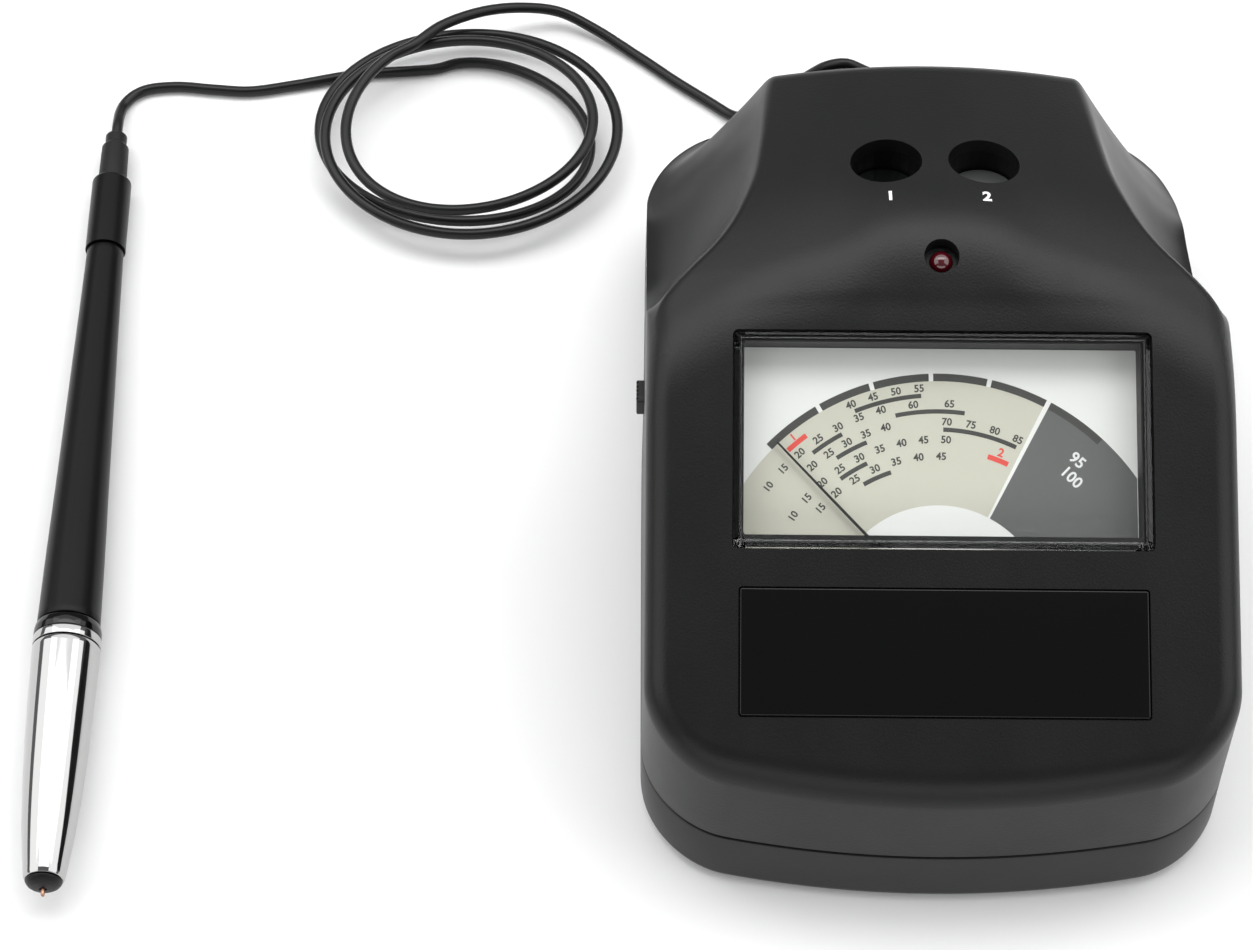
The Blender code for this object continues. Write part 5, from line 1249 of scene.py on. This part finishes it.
@dataclass
class Probe:
    """The pen probe: turned pieces along its axis, measured from the pin's point."""

    ring_rear: float = 52.8
    barrel_rear: float = 136.6
    collar_rear: float = 153.3
    segments: int = 96

    def build(self) -> None:
        """Make each turned piece, from the copper pin to the collar."""
        ring, rear, end = self.ring_rear, self.barrel_rear, self.collar_rear
        self.pin()
        self.turn("probe_cone", [(0.68, 1.4), (0.95, 1.4), (1.95, 1.6), (2.75, 2.05), (3.2, 2.7),
                                 (3.25, 3.0), (2.6, 3.0), (2.6, 9.0), (0.68, 9.0)], 0.3,
                  CAP_BLACK, "nose_cap")
        self.nose()
        self.turn("probe_ring", [(4.67, 44.3), (4.67, 48.55), (6.07, 48.55), (6.07, 50.2), (5.1, 50.2),
                                 (5.1, 52.6), (4.25, 52.6), (4.25, 58.3), (3.3, 58.3), (3.3, 44.3)], 0.12,
                  CHROME, "probe_trim_ring")
        self.turn("probe_lip", [(5.15, 50.3), (6.05, 50.3), (6.07, 51.6), (5.8, ring), (5.15, ring)], 0.2,
                  GLOSS_BLACK)
        self.barrel()
        self.turn("probe_sleeve", [(3.85, rear), (3.78, end - 0.4), (3.45, end), (1.9, end), (1.9, 145.1),
                                   (3.2, 145.1), (3.2, rear)], 0.25, PROBE_BLACK, "probe_collar")

    def turn(self, name: str, corners: Pairs, radius: float, finish: Finish,
             *nodes: str) -> None:
        """Make one turned piece.

        Args:
            name: the piece's name.
            corners: its profile's corners, as radius and height, once round.
            radius: how far from a corner its rounding starts.
            finish: its finish.
            nodes: the solids that it stands for.
        """
        profile = rounded_profile([*corners, corners[0]], radius)
        piece(name, lathe(profile, self.segments), PROBE, finish, nodes=nodes, angle=30)

    @staticmethod
    def skin(knots: Pairs, low: float, high: float, steps: int) -> Points:
        """Return a smooth profile of (radius, height) through knots of height and radius."""
        height = np.linspace(low, high, steps)
        return np.column_stack([curve(knots, height), height])

    def pin(self) -> None:
        """Make the copper pin, slightly worn to one side at its point."""
        corners = [(0.0, 0.0), (0.26, 0.1), (0.38, 0.5), (0.38, 9.3), (1.6, 9.3), (1.6, 10.8), (0.0, 10.8)]
        points, faces = lathe(rounded_profile(corners, 0.12), 32)
        lean = 0.12 * np.clip(1 - points[:, 2] / 1.4, 0, 1)**2
        piece("copper_pin", (points + np.outer(lean, (1.0, 0.0, 0.0)), faces), PROBE, COPPER,
              body="probe_pin", nodes=("probe_tip",))

    def nose(self) -> None:
        """Make the polished nose: a long swelling cone with a rolled front rim."""
        rim = [(3.05, 3.75), (2.95, 3.45), (3.02, 3.25), (3.22, 3.16), (3.42, 3.24), (3.56, 3.5)]
        inside = [(5.95, 48.26), (5.6, 48.3), (4.97, 48.3), (4.97, 29.0), (3.95, 17.0), (2.9, 10.5)]
        profile = np.concatenate([rim, self.skin(NOSE, 4.0, 48.05, 60), inside])
        piece("polished_nose", lathe(profile, self.segments), PROBE, CHROME, nodes=("probe_nose",),
              angle=30)

    def barrel(self) -> None:
        """Make the black barrel: a slow taper to the collar, open inside for the wires."""
        front = [(4.55, 53.1), (5.4, 53.1), (5.58, 53.18)]
        inside = [(3.42, 136.3), (2.9, 136.3), (2.9, 144.1), (1.9, 144.1), (2.5, 122.0), (3.4, 95.0),
                  (4.45, 70.0), (4.55, 59.3)]
        profile = np.concatenate([front, self.skin(BARREL, 53.35, 136.1, 70), inside])
        piece("probe_grip", lathe(profile, self.segments), PROBE, PROBE_BLACK, nodes=("probe_barrel",),
              angle=30)


# The lead

COIL_FORM = ((0.0, -86.8, 165.1, 15.6, 16.3), (0.5, -84.5, 163.1, 27.1, 21.1),
             (1.0, -86.1, 162.6, 29.7, 23.8), (1.5, -85.0, 162.1, 29.1, 25.8),
             (2.0, -85.2, 159.4, 27.4, 23.5), (2.5, -85.4, 161.2, 22.6, 20.9),
             (3.0, -88.8, 155.4, 21.3, 25.5))
TO_COIL = ((-154.6, 170.4), (-151.3, 173.9), (-144.9, 175.1), (-137.0, 174.5), (-129.7, 174.1),
           (-121.0, 175.7), (-108.2, 178.6))
TO_CONSOLE = ((-91.2, 184.8, 9.3), (-82.9, 190.1, 7.4), (-74.9, 192.7, 5.4), (-67.9, 193.1, 3.6),
              (-60.8, 189.9, 2.2), (-52.2, 183.9, 1.135), (-44.3, 177.4, 1.135), (-37.1, 171.9, 1.135),
              (-33.2, 168.8, 1.5), (-29.9, 166.4, 4.1), (-26.9, 164.9, 8.7), (-24.0, 163.8, 13.9),
              (-21.2, 163.0, 18.9), (-18.3, 162.3, 23.3), (-15.4, 161.7, 26.4), (-12.1, 161.2, 27.7))


def even_route(knots: Points, spacing: float) -> Points:
    """Return points at an even spacing on a smooth curve through knots.

    Args:
        knots: the places that the curve passes.
        spacing: length between points.

    Returns:
        Points whose parameter grows with the square root of each leg's length.
    """
    knots = np.asarray(knots, float)
    at = np.concatenate([[0.0], np.cumsum(np.sqrt(np.linalg.norm(np.diff(knots, axis=0), axis=1)))])
    fine = np.linspace(0.0, at[-1], 40 * len(knots))
    path = np.stack([curve(list(zip(at, knots[:, axis])), fine) for axis in range(3)], axis=1)
    run = np.concatenate([[0.0], np.cumsum(np.linalg.norm(np.diff(path, axis=0), axis=1))])
    even = np.linspace(0.0, run[-1], max(2, round(run[-1] / spacing) + 1))
    return np.stack([np.interp(even, run, path[:, axis]) for axis in range(3)], axis=1)


@dataclass
class Lead:
    """The thin lead from the probe, through its laid coil, to the plug at the console's rear."""

    diameter: float = 2.15
    lie: float = 1.135
    climb: float = 3.0
    turns: float = 3.0
    start: float = 112.0
    boot_rear: float = 164.9
    # Where the lead starts and where its route bends free, in front of each boot's end.
    run_in: tuple[float, float] = (0.3, 2.45)
    wall_rear: float = 152.8
    boot_end: Triple = (-6.3, 160.2, 25.4)
    plug_at: Triple = (4.0, 157.4, 22.4)

    def build(self) -> None:
        """Make the lead and the pieces at its two ends."""
        path = self.path()
        cord = self.tube(path)
        sleeve = self.strain_relief()
        plug, boot = self.plug()
        metres = CONSOLE.world(path)

    def path(self) -> Points:
        """Return the lead's centre line in the console's frame.

        Returns:
            The run to the coil, ellipses that drift and climb evenly, and the run to the plug.
        """
        tail = PROBE.world(np.array([[0, 0, self.boot_rear + step] for step in self.run_in]))
        tail = (tail - np.array(CONSOLE.origin)) / MM
        turns = np.linspace(0.0, self.turns, round(self.turns) * 24 + 1)
        middle_x, middle_y, wide, high = (curve([(row[0], row[i]) for row in COIL_FORM], turns)
                                          for i in range(1, 5))
        angle = math.radians(self.start) - 2 * np.pi * turns
        coil = np.stack([middle_x + wide * np.cos(angle), middle_y + high * np.sin(angle),
                         self.lie + self.climb * turns], axis=1)
        first = np.array([(x, y, self.lie) for x, y in TO_COIL])
        away = np.array(self.boot_end) - np.array(self.plug_at)
        away /= np.linalg.norm(away)
        last = [np.array(self.boot_end) + away * step for step in self.run_in[::-1]]
        path = even_route(np.concatenate([tail, first, coil, np.array(TO_CONSOLE), last]), 1.0)
        path[:, 2] = np.maximum(path[:, 2], self.lie)
        return path

    def tube(self, path: Points) -> bpy.types.Object:
        """Return the lead as a round tube along its path, with closed ends.

        Args:
            path: the centre line.

        Returns:
            The piece: centre + radius (n cos a + b sin a), with n carried along the path.
        """
        along = np.gradient(path, axis=0)
        along /= np.linalg.norm(along, axis=1, keepdims=True)
        normal = np.empty_like(along)
        carried = np.array([0.0, 0.0, 1.0])
        for i, ahead in enumerate(along):
            carried = carried - ahead * float(carried @ ahead)
            carried /= np.linalg.norm(carried)
            normal[i] = carried
        side = np.cross(along, normal)
        angle = np.linspace(0, 2 * np.pi, 20, endpoint=False)[None, :, None]
        around_path = normal[:, None] * np.cos(angle) + side[:, None] * np.sin(angle)
        rings = path[:, None] + self.diameter / 2 * around_path
        return piece("lead_cord", stack(rings), CONSOLE, LEAD_BLACK,
                     nodes=("lead_to_coil", "lead_coil", "lead_to_console"), angle=60)

    def strain_relief(self) -> bpy.types.Object:
        """Return the plain sleeve at the probe's tail, with its narrower end collar."""
        end = self.boot_rear
        profile = [(0.0, 146.3), (1.6, 146.3), (1.6, 153.6), (2.75, 153.6), (2.68, 158.0), (2.62, 161.6),
                   (2.2, 162.3), (2.05, 162.35), (2.1, end - 0.4), (1.75, end), (0.0, end)]
        return piece("probe_strain_relief", lathe(rounded_profile(profile, 0.15), 64), PROBE, RUBBER,
                     nodes=("probe_boot",), angle=30)

    def plug(self) -> tuple[bpy.types.Object, bpy.types.Object]:
        """Return the angled plug at the console's rear and its boot, tapered and ringed."""
        face = self.wall_rear
        corners = [(0.0, face - 13.6), (1.15, face - 13.2), (1.75, face - 11.5), (1.75, face + 0.3),
                   (3.7, face + 0.3), (4.2, face + 0.8), (4.2, face + 7.7), (3.0, face + 8.9),
                   (0.0, face + 8.9)]
        metal = turned(lathe(rounded_profile(corners, 0.35), 64), ALONG_Y)
        body = piece("plug_body", metal, CONSOLE.shifted(self.plug_at[0], 0.0, self.plug_at[2]), RUBBER,
                     nodes=("lead_plug",), angle=40)
        centre = Vector(CONSOLE.world(np.array([self.plug_at]))[0])
        away = Vector(self.boot_end) - Vector(self.plug_at)
        turn = away.to_track_quat("Z", "Y").to_matrix()
        place = Place(tuple(centre), tuple(turn.col[0]), tuple(turn.col[2]))
        carve(body, rod(2.9, 0.0, 6.0, 48), place, "UNION")
        low = 6.3
        profile = [(0.0, low), (2.5, low)]
        for share in (0.2, 0.45, 0.7):
            height = low + share * (away.length - low)
            radius = 2.5 - 0.8 * share
            profile += [(radius, height), (radius - 0.25, height + 0.12), (radius - 0.25, height + 0.5),
                        (radius - 0.02, height + 0.62)]
        profile += [(1.7, away.length), (0.0, away.length)]
        boot = piece("plug_strain_relief", lathe(rounded_profile(profile, 0.12), 48), place, RUBBER,
                     nodes=("plug_boot",), angle=30)
        return body, boot


# The base and the controls

def solid_box(node: str) -> tuple[Points, Points]:
    """Return a solid's low and high corners in the console's frame, in millimetres."""
    low, high = ((np.array(corner) - np.array(CONSOLE.origin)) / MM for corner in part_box(node))
    return low, high


@dataclass
class Base:
    """Rubber feet with a dished sole, and cross-head screws in their sunk holes."""

    feet: int = 4
    screws: int = 4
    cross: tuple[float, float] = (1.3, 0.28)

    def build(self) -> None:
        """Make each foot and each screw where its solid is."""
        for number in range(1, self.feet + 1):
            self.foot(number)
        for number in range(1, self.screws + 1):
            self.screw(number)

    def foot(self, number: int) -> None:
        """Make one rubber foot.

        Args:
            number: the number at the end of its solid's name.
        """
        corners = [(0.0, 0.5), (2.6, 0.5), (3.0, 0.0), (4.0, 0.0), (4.5, 0.5), (4.5, 1.7), (0.0, 1.7)]
        node = f"rubber_foot_{number}"
        low, high = solid_box(node)
        x, y = (low + high)[:2] / 2
        piece(f"foot_{number}", lathe(rounded_profile(corners, 0.25), 56), CONSOLE.shifted(x, y, 0.0),
              RUBBER, nodes=(node,), angle=30)

    def screw(self, number: int) -> None:
        """Make one screw, as deep as its solid, and sink a cross into its head.

        Args:
            number: the number at the end of its solid's name.
        """
        node = f"housing_screw_{number}"
        low, high = solid_box(node)
        x, y = (low + high)[:2] / 2
        base, tip = low[2], high[2]
        head = [(0.0, base), (1.6, base), (2.4, base + 0.35), (2.6, base + 0.8), (2.6, base + 1.9)]
        shank = [(1.45, base + 1.9), (1.45, tip - 1.2), (0.0, tip)]
        place = CONSOLE.shifted(x, y, 0.0)
        made = piece(f"screw_{number}", lathe(rounded_profile([*head, *shank], 0.15), 40), place, STEEL,
                     nodes=(node,), angle=30)
        reach, half = self.cross
        for turn in (45.0, 135.0):
            carve(made, block((-reach, reach), (-half, half), (base - 1, base + 1.1)), place.turned(turn))


@dataclass
class Controls:
    """The ribbed slide switch on the left wall and the slotted trimmer on the right."""

    foot: float = 1.2
    grooves: int = 5
    groove_step: float = 0.85

    def build(self) -> None:
        """Make the two controls from their solids' boxes."""
        self.slider()
        self.trimmer()

    def slider(self) -> None:
        """Make the switch's knob: a rounded block with five upright grooves."""
        low, high = solid_box("power_switch_slider")
        depth, wide, tall = high - low
        x, (y, z) = high[0], (low + high)[1:] / 2
        levels = [(0.0, self.foot), (depth - 2.4, self.foot), (depth - 2.4, 0.0), (depth - 0.25, 0.0),
                  (depth - 0.08, 0.1), (depth, 0.3)]
        knob = turned(plate(wide, tall, 0.35, levels), ((0, 0, -1), (1, 0, 0), (0, 1, 0)))
        place = CONSOLE.shifted(x, y, z)
        made = piece("switch_knob", knob, place, SWITCH_BLACK, body="switch_slider",
                     nodes=("power_switch_slider",), angle=30)
        steps = np.arange(self.grooves) - self.grooves // 2
        cuts = [block((-depth - 1, -depth + 0.34), (at - 0.2, at + 0.2), (-3, 3))
                for at in steps * self.groove_step]
        carve(made, join_shapes(*cuts), place)

    @staticmethod
    def trimmer() -> None:
        """Make the trimmer's shaft: a turned end with a chamfer and a driver slot."""
        low, high = solid_box("calibration_trimmer")
        radius = (high[2] - low[2]) / 2
        profile = [(0.0, low[0]), (radius, low[0]), (radius, high[0] - 0.4), (radius - 0.4, high[0]),
                   (0.0, high[0])]
        place = CONSOLE.shifted(0.0, *(low + high)[1:] / 2)
        shaft = turned(lathe(rounded_profile(profile, 0.1), 48), ALONG_X)
        made = piece("trimmer_shaft", shaft, place, BRASS, "trimmer", ("calibration_trimmer",), 30)
        carve(made, block((high[0] - 0.9, high[0] + 2), (-4.0, 4.0), (-0.42, 0.42)), place)


DRESS = {
    BASE_BLACK: ("battery_door",),
    CASE_BLACK: ("meter_case", "lamp_holder", "well_block"),
    DARK_PLASTIC: ("warmup_chip", "heat_driver", "capacitor", "probe_socket", "power_switch_body",
                   "trim_pot_body"),
    JACKET: ("battery_1", "battery_2", "battery_3", "battery_4"),
    SPRING_STEEL: ("front_contact_1", "front_contact_2", "rear_contact_1", "rear_contact_2",
                   "rear_contact_3", "tip_spring"),
    STEEL: ("meter_magnet", "pole_core", "board_screw_1", "board_screw_2"),
    WINDING: ("moving_coil",),
    BRASS: ("heater_cartridge",),
    BOARD_GREEN: ("circuit_board",),
    RUBBER: ("probe_wires",),
}


class Dressing:
    """The finishes of the solids that keep their own shape."""

    def build(self) -> None:
        """Put each finish on its solids."""
        for finish, nodes in DRESS.items():
            for node in nodes:
                bpy.data.objects[node].material_slots[0].material = finish.material()
                log.info("%s: %s", node, finish.name)


# The camera, the light and the floor

@dataclass
class Studio:
    """The camera at the photograph's angle, a plain pale floor and soft light."""

    camera_at: Triple = (0.003119, -0.301238, 0.51434)
    pitch: float = 58.73
    yaw: float = -0.42
    roll: float = 0.13
    lens: float = 92.70
    floor_half: float = 3.0
    aim: Triple = (0.0, 0.05, 0.0)
    # Softboxes: name, place and size in metres, and power in watts.
    boxes: tuple[tuple[str, Triple, tuple[float, float], float], ...] = (
        ("rear", (0.0, 0.95, 1.35), (2.8, 1.3), 15.5),
        ("top", (0.0, 0.45, 1.6), (1.6, 0.7), 11.0),
        ("front", (0.0, -1.6, 0.60), (2.6, 0.7), 8.5),
        ("left", (-1.35, 0.1, 1.1), (1.9, 1.5), 15.0),
        ("right", (1.35, 0.1, 1.1), (1.9, 1.5), 15.0))
    room_light: float = 0.22

    def build(self) -> None:
        """Make the camera, the lights and the floor."""
        self.camera()
        self.floor()
        self.lights()

    def camera(self) -> None:
        """Set the camera from its three angles.

        Forward is (sin yaw cos pitch, cos yaw cos pitch, -sin pitch), and the picture is then
        rolled about it.
        """
        pitch, yaw, roll = (math.radians(angle) for angle in (self.pitch, self.yaw, self.roll))
        flat = math.cos(pitch)
        forward = Vector((math.sin(yaw) * flat, math.cos(yaw) * flat, -math.sin(pitch)))
        level = Vector((math.cos(yaw), -math.sin(yaw), 0.0))
        upright = level.cross(forward)
        right = level * math.cos(roll) + upright * math.sin(roll)
        up = -level * math.sin(roll) + upright * math.cos(roll)
        data = bpy.data.cameras.new("camera")
        data.sensor_width = 36.0
        data.lens = self.lens
        data.clip_start = 0.01
        camera = linked("camera", data)
        camera.matrix_world = Matrix((right, up, -forward)).transposed().to_4x4()
        camera.location = self.camera_at
        bpy.context.scene.camera = camera

    def floor(self) -> None:
        """Lay the floor as one large plane."""
        mesh = bpy.data.meshes.new("floor")
        half = self.floor_half
        mesh.from_pydata([(-half, -half, 0), (half, -half, 0), (half, half, 0), (-half, half, 0)], [],
                         [(0, 1, 2, 3)])
        floor = linked("floor", mesh)
        mesh.materials.append(FLOOR_WHITE.material())

    def lights(self) -> None:
        """Hang the softboxes, set the room's own light and keep the tones as they are."""
        for name, place, size, power in self.boxes:
            self.softbox(name, place, size, power)
        world = bpy.data.worlds.new("room")
        bpy.context.scene.world = world
        world.use_nodes = True
        room = world.node_tree.nodes["Background"].inputs
        room["Color"].default_value = (0.97, 0.98, 1.0, 1.0)
        room["Strength"].default_value = self.room_light
        bpy.context.scene.view_settings.view_transform = "Standard"

    def softbox(self, name: str, place: Sequence[float], size: Sequence[float], power: float) -> None:
        """Hang one rectangular softbox that faces the object.

        Args:
            name: the light's name.
            place: where it hangs, in metres.
            size: its two sides, in metres.
            power: its power in watts.
        """
        data = bpy.data.lights.new(name, "AREA")
        data.shape = "RECTANGLE"
        data.size, data.size_y = size
        data.energy = power
        light = linked(name, data)
        light.location = place
        light.rotation_euler = (Vector(self.aim) - Vector(place)).to_track_quat("-Z", "Y").to_euler()


def main() -> None:
    """Load the frame, build each sub-assembly and report it."""
    logging.basicConfig(level=logging.INFO, format="%(name)s: %(message)s")
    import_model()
    console = Console()
    parts = {"studio": Studio(), "console": console, "meter": Meter(), "hood": Hood(console),
             "probe": Probe(), "lead": Lead(), "base": Base(), "controls": Controls(),
             "dressing": Dressing()}
    for name, part in parts.items():
        part.build()
        log.info("%s done", name)


if __name__ == "__main__":
    main()
